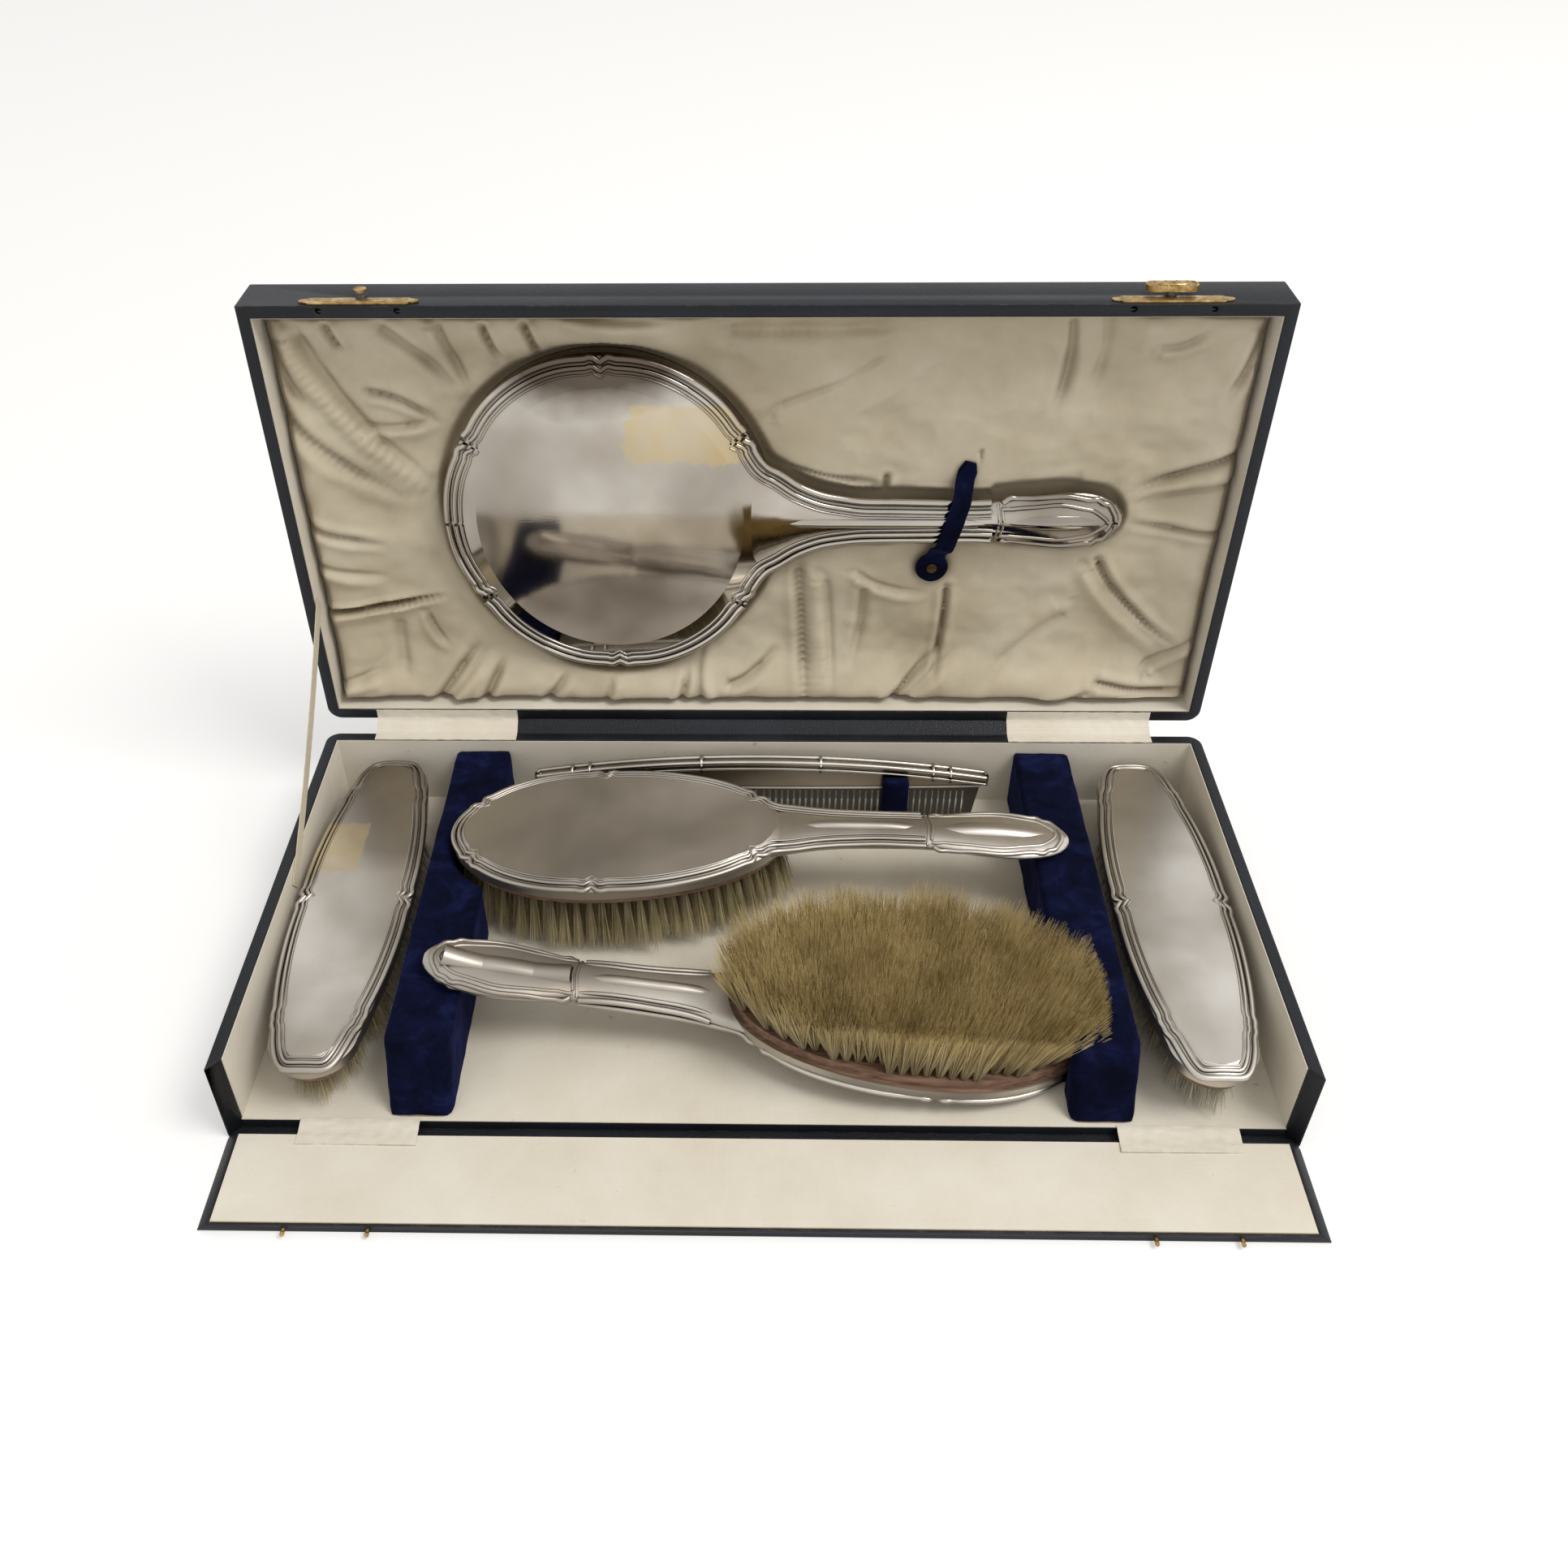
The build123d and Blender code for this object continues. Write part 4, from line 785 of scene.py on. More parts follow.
def handled_border(name, head, neck, length, wide, ribs, lobe, under=False):
    """Reeding round a head and its handle, or on the under face of the handle alone."""
    place, face = places[name], (name, under)
    edge = handled_edge(head, neck)
    runs = [edge]
    if under:
        runs = [[p for p in edge if p.x > head[0] + 6 and p.y * side > 0] for side in (-1, 1)]
    notches = [egg_edge(head, angle) for angle in NOTCH_ANGLES]
    made = []
    for run in runs:
        for depth, radius, sink in ribs:
            line = inset(run, depth, notches, lobe)
            probe = inset(run, max(depth, 1.2), notches, 0)
            points = draped(face, line, sink, probe)
            if under:
                points = faded(points, (radius, 9), under)
            made.append(rib(f"{name}_rib", place, points, radius))
    collar, half = neck[-1]
    for depth, radius, sink in ribs[:2]:
        tip = leaf(length, collar + 1.5, wide, depth)
        nicks = [Vector((length - 9, s * wide * 0.4)) for s in (-1, 1)]
        nicks += [Vector((collar + 1.5, s * wide * 0.4)) for s in (-1, 1)]
        line = inset(tip, 0.0, nicks, 0.0)
        made.append(rib(f"{name}_rib", place, draped(face, line, sink), radius * 0.85))
    radius = half * 0.29
    ridge = evened([Vector((u, 0)) for u in range(int(neck[1][0]) + 4, int(collar))], 2)
    ridge = faded(draped(face, ridge, radius * 0.5), (radius * 0.7, 9), under)
    made.append(rib(f"{name}_rib", place, ridge, radius))
    dome = evened([Vector((u, 0)) for u in range(int(collar) + 3, int(length) - 6)], 1)
    dome = faded(draped(face, dome, radius * 1.15), (radius * 0.8, len(dome) / 2), under)
    made.append(rib(f"{name}_rib", place, dome, radius * 1.8))
    for shift, share in ((-0.2, 1.0), (1.6, 0.8)):
        band = [Vector((collar + shift + 1.2 * (1 - abs(v) / 6), half * 0.92 * share * v / 6))
                for v in range(-6, 7)]
        made.append(rib(f"{name}_rib", place, draped(face, band, 0.2), 0.75))
    return made


borders = {}
borders["hand_mirror"] = handled_border(
    "hand_mirror", MIRROR_HEAD, MIRROR_NECK, MIRROR_LENGTH, MIRROR_GRIP, MIRROR_RIBS, 1.4)
for name in ("rear_hair_brush", "front_hair_brush"):
    borders[name] = handled_border(name, HAIR_HEAD, HAIR_NECK, HAIR_LENGTH, HAIR_GRIP, HAIR_RIBS, 0.9)
borders["front_hair_brush"] += handled_border(
    "front_hair_brush", HAIR_HEAD, HAIR_NECK, HAIR_LENGTH, HAIR_GRIP, HAIR_RIBS[:2], 0.9, under=True)
print({name: len(made) for name, made in borders.items()}, "ribs")

# %% Borders of the clothes brushes
length, width = CLOTHES_SIZE
for name in ("left_clothes_brush", "right_clothes_brush"):
    end = width * 0.36
    edge = []
    for i in range(241):
        t = math.radians(90 - 1.5 * i)
        across_side = abs(math.cos(t)) ** 0.92
        half = end + (width / 2 - end) * (1 - across_side ** 2)
        edge.append(Vector((length / 2 - length / 2 * math.copysign(across_side, -math.cos(t)),
                            half * math.copysign(min(1.0, abs(math.sin(t)) ** 0.36), math.sin(t)))))
    edge = [p for p, q in zip(edge, edge[1:]) if (q - p).length > 1e-4]
    edge = evened(edge + [edge[0]], 1.5, 4)[:-1]
    notches = [Vector((length * u, s * width * w))
               for u, w in ((0.13, 0.43), (0.5, 0.5), (0.87, 0.43)) for s in (-1, 1)]
    made = []
    for depth, radius, sink in CLOTHES_RIBS:
        line = inset(edge, depth, notches, 0.6, closed=True)
        probe = inset(edge, max(depth, 1.4), notches, 0, closed=True)
        line = draped((name, False), line, sink, probe)
        made.append(rib(f"{name}_rib", places[name], line, radius, closed=True))
    borders[name] = made
    print(name, "border of", len(edge), "points")

# %% Join the borders and give them their silver
# The mirror's back was polished most and still reflects. Places are in metres.
gummed = {
    "hand_mirror": ((-0.057, 0.09, 0.169), (-0.002, 0.13, 0.197)),
    "left_clothes_brush": ((-0.193, 0.01, 0.02), (-0.168, 0.044, 0.05)),
}
# Darker zones: a painted dark reflection along the top of the mirror's back, and heavier tarnish on the
# left clothes brush.
darker = {
    "hand_mirror": ((-0.07, 0.111, 0.29), 0.1, 0.92),
    "left_clothes_brush": ((-0.155, 0.055, 0.034), 0.045, 0.4),
}
for name, made in borders.items():
    piece = joined(f"{name}_border", made)
    smooth(piece, 50)
    own = make_silver(
        f"Silver, {name.replace('_', ' ')}", gummed.get(name), darker.get(name),
        0.05 if name == "hand_mirror" else 0.27)
    nodes[silvers[name]].data.materials[0] = own
    finish(piece, name, "silver", material=own)
    print(piece.name, len(piece.data.polygons), "faces")

# %% [markdown]
# ## The silk lining of the lid
#
# Satin is laid over wadding, tucked in round the walls and pinched under the mirror, so it swells
# near its edges and runs in long soft folds from the mirror to the walls. The folds are tacked down,
# not hanging, so they are drawn as strokes: each raises or lowers the cloth along a curve. One fine
# grid, raised by all the strokes together, keeps them flowing into each other.

# %% Strokes of the folds
FOLDS = [
    # three points (x, z) in mm, half width and height
    ((-187, 224), (-180, 186), (-137, 149), 4.5, 2.4), ((-199, 200), (-182, 168), (-148, 147), 4.0, -1.8),
    ((-130, 228), (-126, 209), (-120, 196), 3.0, 1.8), ((-149, 227), (-139, 218), (-122, 200), 3.5, -1.6),
    ((-160, 198), (-143, 196), (-131, 183), 2.5, -1.5), ((-162, 180), (-146, 178), (-132, 183), 2.6, 1.3),
    ((-197, 142), (-182, 131), (-162, 127), 2.6, -1.5), ((-197, 118), (-184, 110), (-165, 107), 3.0, 1.6),
    ((-198, 97), (-175, 93), (-138, 102), 1.7, -2.2), ((-197, 92), (-175, 90), (-139, 99), 2.8, 1.3),
    ((-153, 46), (-141, 60), (-127, 78), 3.0, -2.0), ((-146, 44), (-133, 58), (-121, 72), 3.0, 1.9),
    ((-163, 89), (-165, 72), (-162, 58), 4.0, -1.2), ((-153, 91), (-151, 79), (-143, 72), 2.5, 1.4),
    ((-132, 44), (-123, 58), (-117, 70), 2.6, -1.8), ((-200, 54), (-184, 56), (-167, 63), 3.2, 1.5),
    ((-198, 48), (-186, 43), (-168, 54), 2.6, -1.8), ((-192, 221), (-190, 203), (-184, 195), 3.0, -1.4),
    ((-93, 228), (-90, 220), (-88, 213), 2.2, -1.8), ((-109, 228), (-107, 219), (-103, 211), 2.2, -1.6),
    ((-170, 228), (-168, 222), (-166, 215), 2.4, -1.6), ((-78, 230), (-60, 224), (-30, 226), 3.0, 1.0),
    ((-14, 224), (23, 221), (64, 226), 5.0, -1.2), ((8, 187), (40, 196), (73, 226), 3.6, 1.5),
    ((120, 228), (124, 204), (116, 186), 3.2, -1.5), ((128, 229), (131, 214), (126, 196), 4.0, 1.2),
    ((200, 176), (180, 166), (150, 150), 2.8, -1.8), ((198, 165), (175, 159), (153, 150), 3.2, 1.6),
    ((198, 136), (173, 135), (154, 138), 2.4, -1.4), ((145, 120), (158, 94), (188, 77), 2.4, -1.9),
    ((139, 114), (152, 90), (180, 72), 3.5, 1.4), ((81, 106), (81, 80), (78, 58), 2.2, -1.7),
    ((50, 40), (65, 58), (81, 75), 2.6, -1.8), ((58, 38), (74, 56), (92, 70), 3.4, 1.4),
    ((16, 116), (19, 80), (20, 42), 3.2, -1.6), ((24, 110), (27, 82), (28, 50), 3.4, 1.3),
    ((40, 111), (52, 100), (74, 100), 2.6, 1.4), ((45, 107), (46, 86), (40, 66), 3.0, -1.2),
    ((104, 42), (129, 47), (154, 57), 2.4, -1.7), ((152, 59), (175, 53), (198, 58), 2.4, -1.8),
    ((175, 63), (184, 72), (197, 83), 2.6, 1.5), ((192, 226), (190, 209), (182, 194), 2.6, -1.5),
    ((155, 214), (168, 213), (175, 226), 2.6, 1.2), ((52, 159), (51, 151), (53, 144), 2.0, -1.6),
    ((8, 165), (32, 158), (53, 155), 2.4, -1.4), ((90, 172), (90, 163), (91, 155), 2.0, -1.2),
    ((-15, 58), (-4, 60), (8, 75), 2.6, -1.5), ((132, 97), (110, 82), (93, 58), 5.0, 1.2),
    ((-100, 50), (-92, 58), (-88, 64), 2.6, -1.4), ((-70, 48), (-64, 56), (-66, 64), 2.6, 1.2),
    ((-40, 46), (-34, 56), (-34, 66), 2.4, -1.4), ((-20, 46), (-30, 60), (-22, 76), 2.8, 1.3),
]


def stroke(x, z, a, b, c, wide, high):
    """Lift of one fold at each grid point, fading towards its far end."""
    best = np.full(x.shape, 1e9)
    along, side = np.zeros(x.shape), np.zeros(x.shape)
    for i in range(25):
        t = i / 24
        px, pz = (a[k] * (1 - t) ** 2 + 2 * b[k] * t * (1 - t) + c[k] * t * t for k in (0, 1))
        run_x, run_z = ((b[k] - a[k]) * (1 - t) + (c[k] - b[k]) * t for k in (0, 1))
        far = (x - px) ** 2 + (z - pz) ** 2
        nearer = far < best
        along = np.where(nearer, t, along)
        side = np.where(nearer, (x - px) * run_z - (z - pz) * run_x, side)
        best = np.minimum(best, far)
    fade = np.clip((1 - along) / 0.35, 0, 1) * np.clip(along / 0.08 + 0.5, 0, 1)
    gap = np.sqrt(best) / wide * np.sign(side)
    if high > 0:
        shape = np.exp(-gap ** 2) - 0.85 * np.exp(-((gap + 1.25) / 0.5) ** 2)
    else:
        shape = 1.15 * np.exp(-(gap / 0.6) ** 2) - 0.45 * np.exp(-((np.abs(gap) - 1.5) / 0.8) ** 2)
    return high * fade * shape


print(len(FOLDS), "folds")

# %% The silk itself
FOLD_GAIN = 1.4  # the heights in FOLDS, made deeper so that they show
ON_PAD = -3.75  # level in mm where the cloth lies down on the pad
pad_low, pad_high = (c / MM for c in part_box("silk_pad"))
across_count, up_count = 411, 189
bpy.ops.object.select_all(action="DESELECT")
bpy.ops.mesh.primitive_grid_add(x_subdivisions=across_count - 1, y_subdivisions=up_count - 1, size=1)
silk = born("silk_lining")
flat = np.empty(len(silk.data.vertices) * 3)
silk.data.vertices.foreach_get("co", flat)
flat = flat.reshape(-1, 3)
x = (flat[:, 0] + 0.5) * (pad_high.x - pad_low.x) + pad_low.x
z = (flat[:, 1] + 0.5) * (pad_high.z - pad_low.z) + pad_low.z

lift = np.zeros(x.shape)
for a, b, c, wide, high in FOLDS:
    lift += stroke(x, z, a, b, c, wide, high * FOLD_GAIN)
for i, (px, pz) in enumerate(zip(x, z)):
    spot = Vector((px / 34, pz / 26, 1.7))
    lift[i] += 2.2 * noise.noise(spot) + 1.1 * noise.noise(spot * 2.1) + 0.45 * noise.noise(spot * 4.3)
wall_gap = np.minimum(np.minimum(x - pad_low.x, pad_high.x - x), np.minimum(z - pad_low.z, pad_high.z - z))
swell = np.exp(-((wall_gap - 5) / 15) ** 2)
calm = np.clip(1 - np.maximum(np.abs(x - 60) - 72, np.abs(z - 192) - 36) / 16, 0, 1)
hinge_swell = np.exp(-((z - pad_low.z - 4) / 11) ** 2)
lift += (6.5 * swell + 4.0 * hinge_swell) * (1 - calm) + 0.3
lift = np.where(calm > 0, np.minimum(lift, 0.2 + (1 - calm) * 9), lift)

outline = handled_edge(MIRROR_HEAD, MIRROR_NECK)
outline += leaf(MIRROR_LENGTH, MIRROR_NECK[-1][0], MIRROR_GRIP, 0)
gap = np.full(x.shape, 1e9)
for point in outline[::2]:
    gap = np.minimum(gap, (x - MIRROR_TIP_X - point.x) ** 2 + (z - MIRROR_AXIS_Z - point.y) ** 2)
gap = np.sqrt(gap)
head = ((x - MIRROR_TIP_X - 69) / 69) ** 2 + ((z - MIRROR_AXIS_Z) / 74) ** 2 < 1
rows = MIRROR_NECK + [(250, 12.2), (262, 13), (275, 11), (283, 6), (285, 1)]
widths = np.array([between(rows, max(u, 112)) for u in x - MIRROR_TIP_X])
inside = head | ((np.abs(z - MIRROR_AXIS_Z) < widths) & (x > MIRROR_TIP_X + 112) & (x < MIRROR_TIP_X + 285))
gap = np.where(inside, -gap, gap)
sunk = np.clip((gap - 0.9) / 4.5, 0, 1)
sunk = sunk * sunk * (3 - 2 * sunk)
lift = lift * sunk + ON_PAD * (1 - sunk)
studs = np.exp(-(((x - 73.7) ** 2 + (z - 116.5) ** 2) / 70) ** 2)
lift = lift * (1 - studs) - 1.5 * studs
lift = np.maximum(lift, ON_PAD)
tuck = np.clip(wall_gap / 4, 0, 1)
lift = lift * np.sqrt(tuck) - 1.2 * (1 - tuck)

points = np.stack([x * MM, (pad_low.y - lift) * MM, z * MM], axis=1)
silk.data.vertices.foreach_set("co", points.ravel())
only(silk)
bpy.ops.object.mode_set(mode="EDIT")
bpy.ops.mesh.select_all(action="SELECT")
bpy.ops.mesh.region_to_loop()
bpy.ops.mesh.extrude_region_move()
bpy.ops.object.mode_set(mode="OBJECT")
for vertex in silk.data.vertices:
    if vertex.select:
        vertex.co.y = pad_high.y * MM
bpy.ops.object.mode_set(mode="EDIT")
bpy.ops.mesh.edge_face_add()
bpy.ops.object.mode_set(mode="OBJECT")
outward(silk)
smooth(silk, 70)
finish(silk, "lid", "silk", "silk_pad")
print("silk stands", round(float(lift.max()), 1), "mm proud at most")

# %% [markdown]
# ## Strips of cloth
#
# The tabs, the spine, the ribbon and the strap are narrow strips that keep their width. A grid is laid
# along a profile, one row of points for each step, and Solidify gives it its thickness.


# %% Strips
STEP = 0.8  # mm between the rows of points along a strip
BULB = 7.1  # half length in mm of the strap's round end


def cloth_strip(name, path, width_way, width, thickness, rows=8, ripple=0.0, seed=0, round_end=False):
    """A strip along path, a list of points in mm, as wide as width in the direction width_way."""
    path = evened([Vector(p) for p in path], STEP)
    bpy.ops.object.select_all(action="DESELECT")
    bpy.ops.mesh.primitive_grid_add(x_subdivisions=len(path) - 1, y_subdivisions=rows, size=1)
    piece = born(name)
    way = Vector(width_way).normalized()
    last = len(path) - 1
    for vertex in piece.data.vertices:
        i = round((vertex.co.x + 0.5) * last)
        a, b = path[max(i - 1, 0)], path[min(i + 1, last)]
        out = (b - a).normalized().cross(way)
        share = vertex.co.y
        half = width
        if round_end:
            left = (last - i) * STEP
            bulb = 2 * BULB * math.sqrt(max(0.0, 1 - ((left - BULB) / BULB) ** 2))
            near = min(i * STEP, 4.0) / 4.0
            half = max(width * (0.6 + 0.4 * near) if left > 9 else 0.0, bulb, 0.4)
        wave = ripple * noise.noise(Vector((share * width / 4, i * 0.35, seed)))
        vertex.co = (path[i] + way * share * half + out * wave) * MM
    applied(piece, "SOLIDIFY", thickness=thickness * MM, offset=0)
    outward(piece)
    smooth(piece, 50)
    return piece


def hinged(piece, other, slot, start, end, *replaced):
    """Gives a strip that lies across a hinge its finish and hides the solids that it stands for."""
    dressed(piece, slot)
    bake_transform(piece)
    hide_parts(*replaced)
    print(piece.name, len(piece.data.polygons), "faces")


def profile(x, *spots):
    """Points in mm at one x, from their (y, z) places."""
    return [(x, y, z) for y, z in spots]


# %% Lid hinge
tabs = []
for seed, x_middle in enumerate((-145, 145)):
    path = profile(
        x_middle, (92.9, 39.75), (97.6, 39.8), (99, 40.1), (103.2, 43.1), (103.9, 44.2), (103.85, 48.7))
    tabs.append(cloth_strip("tab", path, (1, 0, 0), 65, 0.4, 80, 0.25, seed))
tabs = joined("lid_hinge_cloth", tabs)
hinged(tabs, "lid", "lining_cloth", (0, 98.6, 39.8), (0, 103.9, 43.9), "lid_hinge_tabs")
path = profile(
    0, (98.4, 31.6), (98.4, 38.4), (98.9, 39.3), (101.2, 40.6), (103.9, 42.6), (104.8, 43.2), (112, 43.25))
spine = cloth_strip("hinge_spine_cloth", path, (1, 0, 0), 355, 0.8, 140, 0.12)
hinged(spine, "lid", "leathercloth", (0, 98.6, 39.3), (0, 104.2, 43.0), "hinge_spine")

# %% Flap hinge
tabs = []
for seed, x_middle in enumerate((-150, 155)):
    path = profile(x_middle, (-92.7, 5.45), (-94, 5.55), (-98.2, 4.85), (-99.6, 4.75), (-104.3, 4.7))
    tabs.append(cloth_strip("tab", path, (1, 0, 0), 45, 0.4, 60, 0.35, seed + 5))
tabs = joined("flap_hinge_cloth", tabs)
hinged(tabs, "flap", "lining_cloth", (0, -96.6, 5), (0, -99.4, 4.6), "flap_hinge_tabs")
path = profile(0, (-93.3, 0.4), (-98.3, 0.4))
strip_under = cloth_strip("flap_strip_cloth", path, (1, 0, 0), 399, 0.7, 120, 0.0)
hinged(strip_under, "flap", "leathercloth", (0, -96.5, 0.4), (0, -98.2, 0.4), "flap_hinge_strip")

# %% Ribbon stay
top, foot = Vector((-194.35, 108.1, 105.7)), Vector((-194.35, 4.8, 30.5))
down = (foot - top).normalized()
side_way = Vector((0, -down.z, down.y))
sag = side_way * -3.0
if sag.z > 0:
    sag = -sag
path = []
for i in range(41):
    t = i / 40
    path.append(top.lerp(foot, t) + sag * 4 * t * (1 - t))
stay = cloth_strip("ribbon_stay_cloth", path, side_way, 6.5, 0.32, 6, 0.12, 9)
hinged(stay, "lid", "ribbon", foot.lerp(top, 0.12), foot.lerp(top, 0.93), "ribbon_stay")

# %% Strap
root = Vector((86.25, 119.4, 166.9))
slant = math.radians(13.9)
run = Vector((-math.sin(slant), 0, -math.cos(slant)))
rows = [(0, 0.0), (6, 0.6), (16, 10.0), (26, 10.9), (36, 10.0), (45, 0.9), (52, 0.5), (59, 0.5)]
path = []
for i in range(60):
    rise = between(rows, i) * 0.93
    path.append(root + run * i + Vector((0, -rise - 0.5, 0)))
strap = cloth_strip("strap_pile", path, run.cross(Vector((0, -1, 0))), 8, 1.3, 10, 0.15, 4, round_end=True)
applied(strap, "SUBSURF", levels=1, render_levels=1)
smooth(strap, 80)
finish(strap, "strap", "velvet", "mirror_strap")
print(strap.name, len(strap.data.polygons), "faces")

# %% [markdown]
# ## Bristles
#
# A brush is drilled with rows of holes, and a tuft of boar bristle is drawn into each. One bristle
# is a thin three-sided cone. It is copied into tufts that are tight where they leave the wood and
# open at their tips, with an attribute for each bristle's own shade and one for its height.


# %% Bristles
def three_sided():
    """The points and faces of one bristle, a cone of unit length."""
    bpy.ops.object.select_all(action="DESELECT")
    bpy.ops.mesh.primitive_cone_add(vertices=3, radius1=1, radius2=0.25, depth=1, end_fill_type="NOTHING")
    one = born("one_bristle")
    shape = [v.co.copy() for v in one.data.vertices]
    faces = [list(p.vertices) for p in one.data.polygons]
    bpy.data.objects.remove(one)
    return shape, faces


HOLE = 0.95  # radius of a tuft's hole
ROOT = -11 + 0.4  # level of the holes, a little inside the wood
BARE = 2.7  # bare wood round the tufts


def pressed(spot, top, near):
    """Years under the shut lid and behind the shut drop front have pressed the tips back."""
    spot.z = min(spot.z, top + (spot.z - top) * 0.25)
    spot.y = max(spot.y, near + (spot.y - near) * 0.25)
    return spot


def tufted(name, inside, length, width, tip, pitch, count, thick, splay, loose, seed):
    """Tufts on a staggered grid, pitch apart, with count bristles in each. All sizes are in mm.

    tip is the level of the tips, splay leans the outer tufts and loose opens each towards its tip.
    """
    rng = random.Random(seed)
    shape, faces = three_sided()
    home = places[name].inverted()
    block = [Vector(c) for c in nodes[f"{name}_bristles"].bound_box]
    top = max(c.z for c in block) - 1.5 * MM
    near = min(c.y for c in block) + 1.5 * MM
    corners, sides, shade, tall = [], [], [], []
    row, v = 0, -width / 2
    total = 0
    while v <= width / 2:
        u = (row % 2) * pitch / 2
        while u <= length:
            reach = inside(u, v)
            if reach < 1:
                total += 1
                lean = Vector(((u - length / 2) / length * 2, v / width * 2))
                lean = lean.normalized() * splay * reach ** 3 if lean.length else lean
                for _ in range(count):
                    a, r = rng.uniform(0, 6.283), math.sqrt(rng.random())
                    foot = Vector((u + math.cos(a) * r * HOLE, v + math.sin(a) * r * HOLE, ROOT))
                    a += rng.uniform(-0.5, 0.5)
                    far = (r * 1.7 + rng.uniform(0, 0.8)) * loose
                    high = tip + rng.uniform(0.0, 1.0) + (rng.random() ** 4) * 2.4
                    high += reach ** 2 * 1.2 * loose
                    out_x, out_y = math.cos(a) * far + lean.x, math.sin(a) * far + lean.y
                    end = Vector((foot.x + out_x, foot.y + out_y, high))
                    if name == "front_hair_brush":
                        end.x = max(end.x, 2.5 + (end.x - 2.5) * 0.35)
                        end = home @ pressed(places[name] @ (end * MM), top, near) / MM
                    axis = end - foot
                    turn = axis.to_track_quat("Z", "X").to_matrix()
                    base = len(corners)
                    own = rng.random()
                    for c in shape:
                        spot = turn @ Vector((c.x * thick, c.y * thick, 0)) + foot + axis * (c.z + 0.5)
                        corners.append(places[name] @ (spot * MM))
                        shade.append(own)
                        tall.append(c.z + 0.5)
                    sides.extend([base + k for k in f] for f in faces)
            u += pitch
        v += pitch * 0.87
        row += 1
    mesh = bpy.data.meshes.new(f"{name}_tufts")
    mesh.from_pydata(corners, [], sides)
    for key, values in (("strand", shade), ("height", tall)):
        mesh.attributes.new(key, "FLOAT", "POINT").data.foreach_set("value", values)
    piece = bpy.data.objects.new(mesh.name, mesh)
    bpy.context.collection.objects.link(piece)
    print(piece.name, total, "tufts", len(sides), "faces")
    return piece


def in_head(u, v):
    """Distance from the middle of a hair brush's head, 1 being the edge of its tufts."""
    length, width, blunt = HAIR_HEAD
    a = (length - blunt if u > blunt else blunt) - BARE
    return math.sqrt(((u - blunt) / a) ** 2 + (v / (width / 2 - BARE)) ** 2)


def in_lozenge(u, v):
    """The same for a clothes brush."""
    length, width = CLOTHES_SIZE
    t = abs(u - length / 2) / (length / 2 - 5.5)
    return max(t, abs(v) / ((width / 2 - 5.4) * max(0.05, 1 - t ** 3.2 * 0.75)))


own_bristle = {
    "rear_hair_brush": make_bristle("Boar bristle, brown", "#cfc197", "#a5966a", "#6b5c39"),
    "front_hair_brush": make_bristle("Boar bristle, olive", "#e2d09a", "#bda566", "#80693c"),
    "left_clothes_brush": make_bristle("Boar bristle, tan", "#bcab7c", "#8f7e53", "#574828"),
    "right_clothes_brush": make_bristle("Boar bristle, grey", "#d2ccb8", "#9a9174", "#564c35"),
}
# Level of the tips, pitch, bristles in a tuft, their thickness, splay and looseness. The front brush
# has finer and looser ones, as its tips are what is seen of it.
tufting = {
    "rear_hair_brush": (-36.8, 5.2, 36, 0.22, 4.0, 0.9),
    "front_hair_brush": (-36.8, 4.6, 84, 0.15, 8.0, 2.4),
    "left_clothes_brush": (-27.8, 4.8, 30, 0.2, 3.2, 1.2),
    "right_clothes_brush": (-27.8, 4.8, 30, 0.2, 3.2, 1.2),
}
for seed, name in enumerate(own_bristle):
    inside, size = (in_head, HAIR_HEAD[:2]) if "hair" in name else (in_lozenge, CLOTHES_SIZE)
    piece = tufted(name, inside, *size, *tufting[name], seed)
    finish(piece, name, "bristle", f"{name}_bristles", material=own_bristle[name])

# %% [markdown]
# ## Comb, catches and linings
#
# The comb's silver mount has the same reeded edge, with small collars and a scroll at each end. The
# thumb-piece of the right catch is framed with a row of beads, each a flattened ball struck from
# behind. The cloth linings are glued down, but ripple a little and never end in a sharp edge.

# %% Comb mount
as_placed = Matrix.Identity(4)
COMB_HALF = 103  # half the comb's length in mm
COMB_TOP = (28.5, 37.5)  # height of its mount at the ends and in the middle


def arch(x, ends, middle):
    """Height of a line that bows up, or down, between the comb's ends."""
    return ends + (middle - ends) * (1 - (x / COMB_HALF) ** 2)


comb_ribs = []
for y, shift, radius in ((80.5, -0.3, 1.25), (84.5, -0.3, 1.25), (79.9, -3.4, 0.7), (85.1, -3.4, 0.7)):
    line = [(x / 2, y, arch(x / 2, *COMB_TOP) + shift) for x in range(-204, 205, 4)]
    comb_ribs.append(rib("comb_rib", as_placed, line, radius))
line = [(x / 2, 79.9, arch(x / 2, 24.5, 22.9)) for x in range(-200, 201, 4)]
comb_ribs.append(rib("comb_rib", as_placed, line, 0.6))
for x in (-86, -78, -27, 27, 78, 86):
    top_z = arch(x, *COMB_TOP)
    ring = profile(
        x, (79.6, top_z - 4.5), (79.5, top_z - 1), (80.4, top_z + 0.7), (82.5, top_z + 0.9),
        (84.6, top_z + 0.7), (85.5, top_z - 1), (85.4, top_z - 4.5))
    comb_ribs.append(rib("comb_rib", as_placed, ring, 0.75))
for side in (-1, 1):
    curl = []
    for i in range(26):
        a = math.radians(90 - i * 18)
        r = 3.1 - i * 0.075
        curl.append((side * (101.4 + math.cos(a) * r * 0.5), 82.5, 26.6 + math.sin(a) * r))
    comb_ribs.append(rib("comb_rib", as_placed, curl, 1.0))
comb_border = joined("comb_mount_border", comb_ribs)
smooth(comb_border, 50)
finish(comb_border, "comb", "silver")
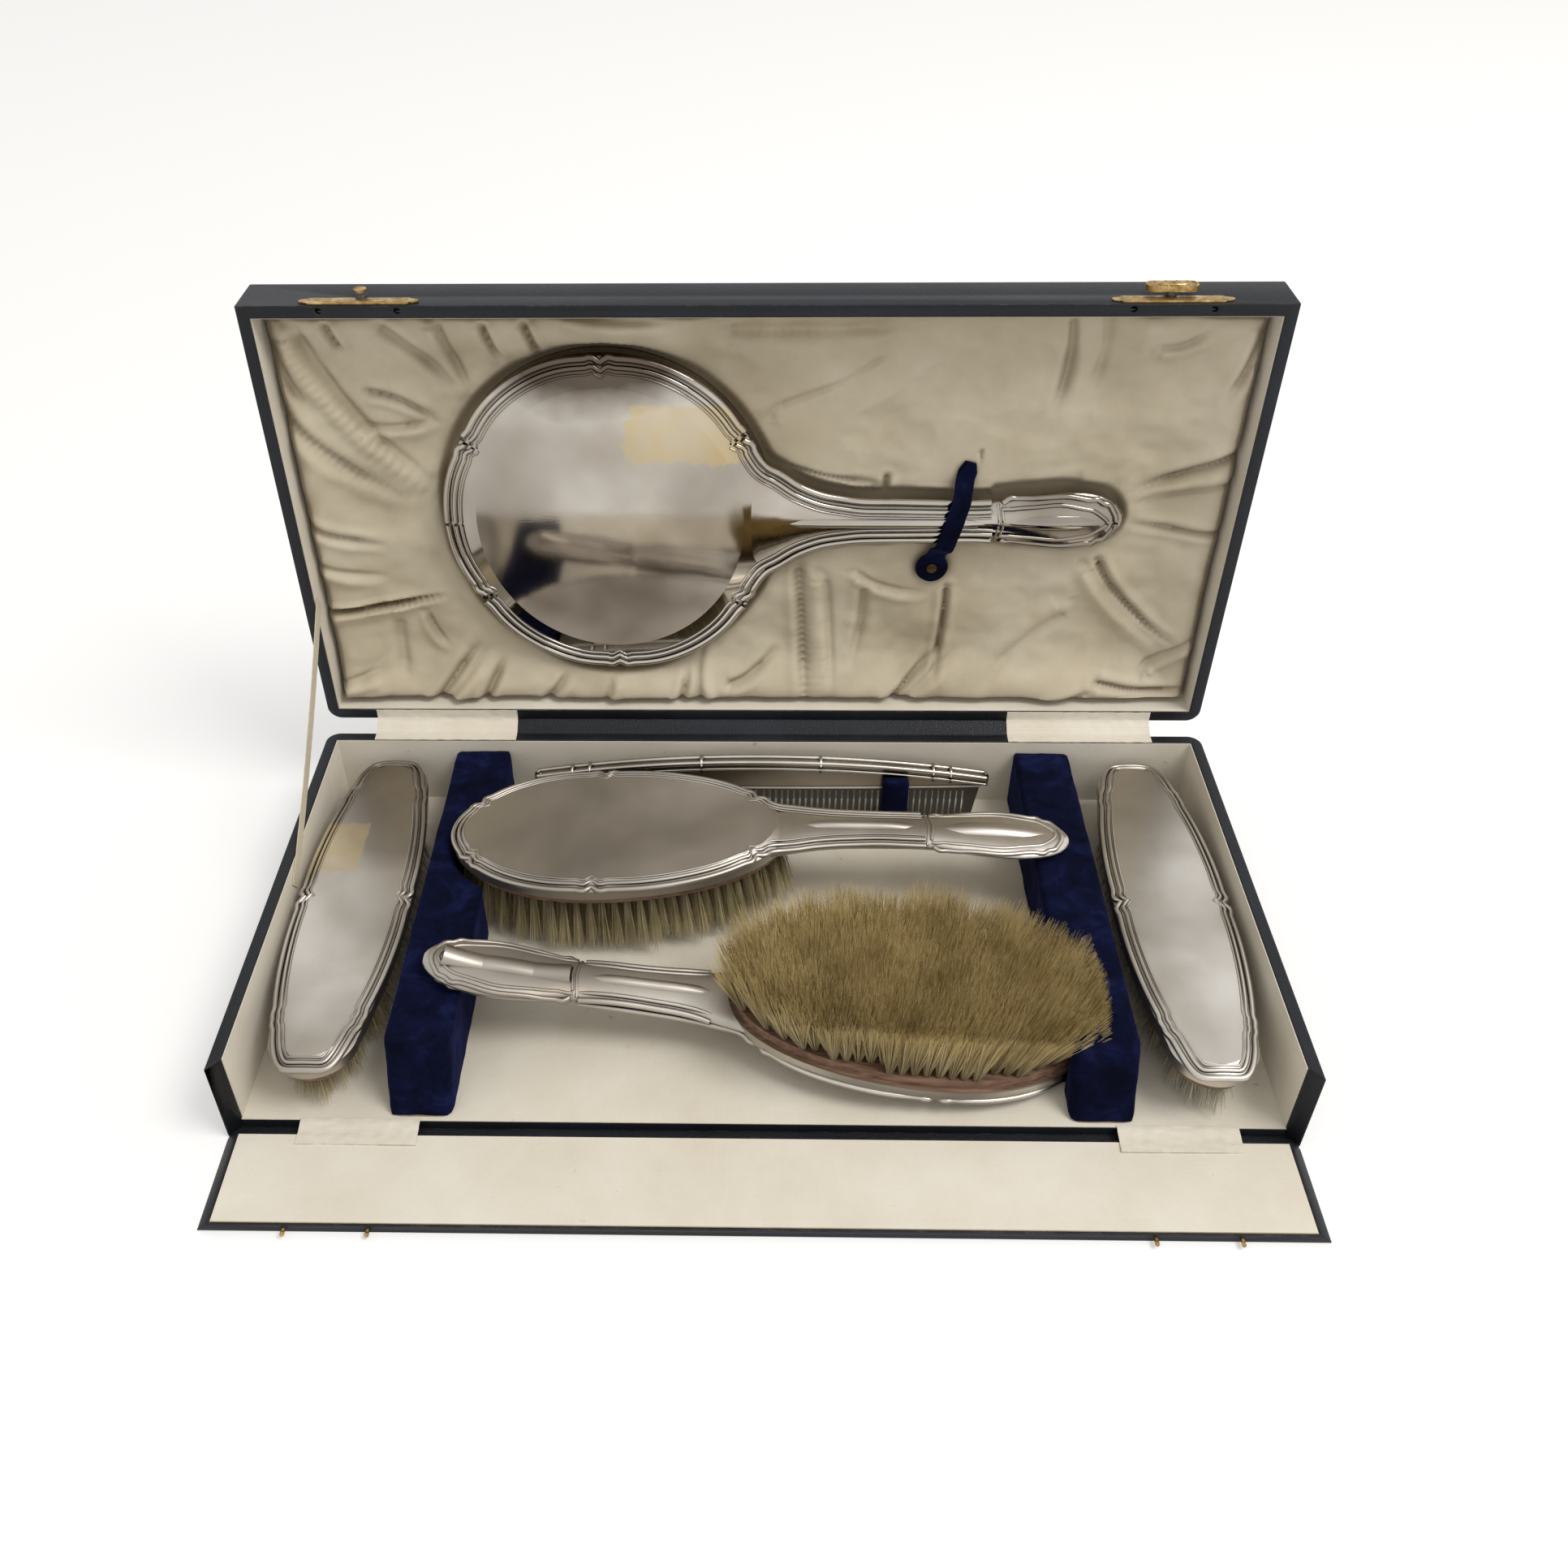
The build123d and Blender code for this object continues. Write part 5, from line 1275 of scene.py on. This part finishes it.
# Its dark zone reaches over the whole mount, so the comb's silver is mixed a little over half way towards
# dark brown all over.
comb_silver = make_silver("Silver, comb mount", dark=((0, 0.08, 0.02), 0.2, 0.55))
nodes["comb_mount"].data.materials[0] = comb_silver
print(comb_border.name, len(comb_border.data.polygons), "faces")

# %% Catches
for side in ("left", "right"):
    plate = copied(f"{side}_catch_plate_worn", f"{side}_catch_plate")
    applied(plate, "BEVEL", width=0.22 * MM, segments=2, limit_method="ANGLE", angle_limit=math.radians(40))
    smooth(plate, 40)
    finish(plate, "lid", "brass", f"{side}_catch_plate")
x0, y0, z0 = 153.5, 112.7, 244.1
BEADS = 26
beads = []
for i in range(BEADS):
    a = math.radians(i * 360 / BEADS)
    bead_x = math.cos(a) * 2.5 + math.copysign(6.8, math.cos(a)) * min(1, abs(math.cos(a)) * 2.2)
    bpy.ops.object.select_all(action="DESELECT")
    spot = Vector((x0 + bead_x, y0 + math.sin(a) * 2.5, z0)) * MM
    bpy.ops.mesh.primitive_ico_sphere_add(
        subdivisions=2, radius=0.55 * MM, location=spot, scale=(1, 1, 0.7))
    beads.append(born("bead"))
beads = joined("right_catch_beads", beads)
bpy.ops.object.transform_apply(location=True, rotation=True, scale=True)
bpy.ops.object.select_all(action="DESELECT")
bpy.ops.mesh.primitive_uv_sphere_add(
    segments=24, ring_count=12, radius=1, location=Vector((x0, y0, z0)) * MM,
    scale=Vector((6.6, 1.7, 0.7)) * MM)
dome = born("dome")
bpy.ops.object.transform_apply(location=True, rotation=True, scale=True)
thumb = joined("right_catch_ornament", [beads, dome])
smooth(thumb, 60)
finish(thumb, "right_catch", "brass")
print(thumb.name, BEADS, "beads")


# %% Linings
def laid_sheet(name, node, axis, high_end, wave, seed):
    """A thin sheet over one side of a node's box, rippled along the axis that it faces."""
    low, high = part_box(node)
    size = high - low
    other = [i for i in range(3) if i != axis]
    bpy.ops.object.select_all(action="DESELECT")
    counts = [max(2, min(160, round(size[i] / (3 * MM)))) for i in other]
    bpy.ops.mesh.primitive_grid_add(x_subdivisions=counts[0], y_subdivisions=counts[1], size=1)
    piece = born(name)
    inward = 1 if not high_end else -1
    level = (high if high_end else low)[axis] + inward * 0.2 * MM
    for vertex in piece.data.vertices:
        a, b = vertex.co.x + 0.5, vertex.co.y + 0.5
        spot = Vector((0, 0, 0))
        spot[other[0]] = low[other[0]] + a * size[other[0]]
        spot[other[1]] = low[other[1]] + b * size[other[1]]
        edge = min(1, min(a, 1 - a, b, 1 - b) * 12)
        ripple = (noise.noise(spot * (1 / (30 * MM)) + Vector((seed, 0, 0))) - 0.35) * wave * MM * edge
        spot[axis] = level - inward * ripple
        vertex.co = spot
    applied(piece, "SOLIDIFY", thickness=0.35 * MM, offset=0)
    outward(piece)
    return piece


# Each lining, the body that carries it, and its sides as (axis that it faces, at the high end of it).
lined = (
    ("floor_lining", "tray", ((2, True),)),
    ("flap_lining", "flap", ((2, True),)),
    ("wall_lining", "tray", ((0, False), (0, True), (1, True))),
    ("lid_wall_lining", "lid", ((0, False), (0, True), (2, False), (2, True))),
)
for node, body, sides in lined:
    sheets = []
    for i, (axis, end) in enumerate(sides):
        sheets.append(laid_sheet("sheet", node, axis, end, 0.25, 3 * i + len(node)))
    piece = joined(f"{node}_cloth", sheets)
    smooth(piece, 50)
    finish(piece, body, "lining_cloth", node)
    print(piece.name, len(piece.data.polygons), "faces")

# %% Covers
for node in ("tray_cover", "base_cover", "lid_cover", "flap_cover"):
    body = "tray" if node == "base_cover" else node.removesuffix("_cover")
    piece = copied(f"{node}_cloth", node, flat=0.5)
    applied(piece, "BEVEL", width=0.3 * MM, segments=2, limit_method="ANGLE", angle_limit=math.radians(50))
    smooth(piece, 35)
    finish(piece, body, "leathercloth", node)
    print(piece.name, len(piece.data.polygons), "faces")
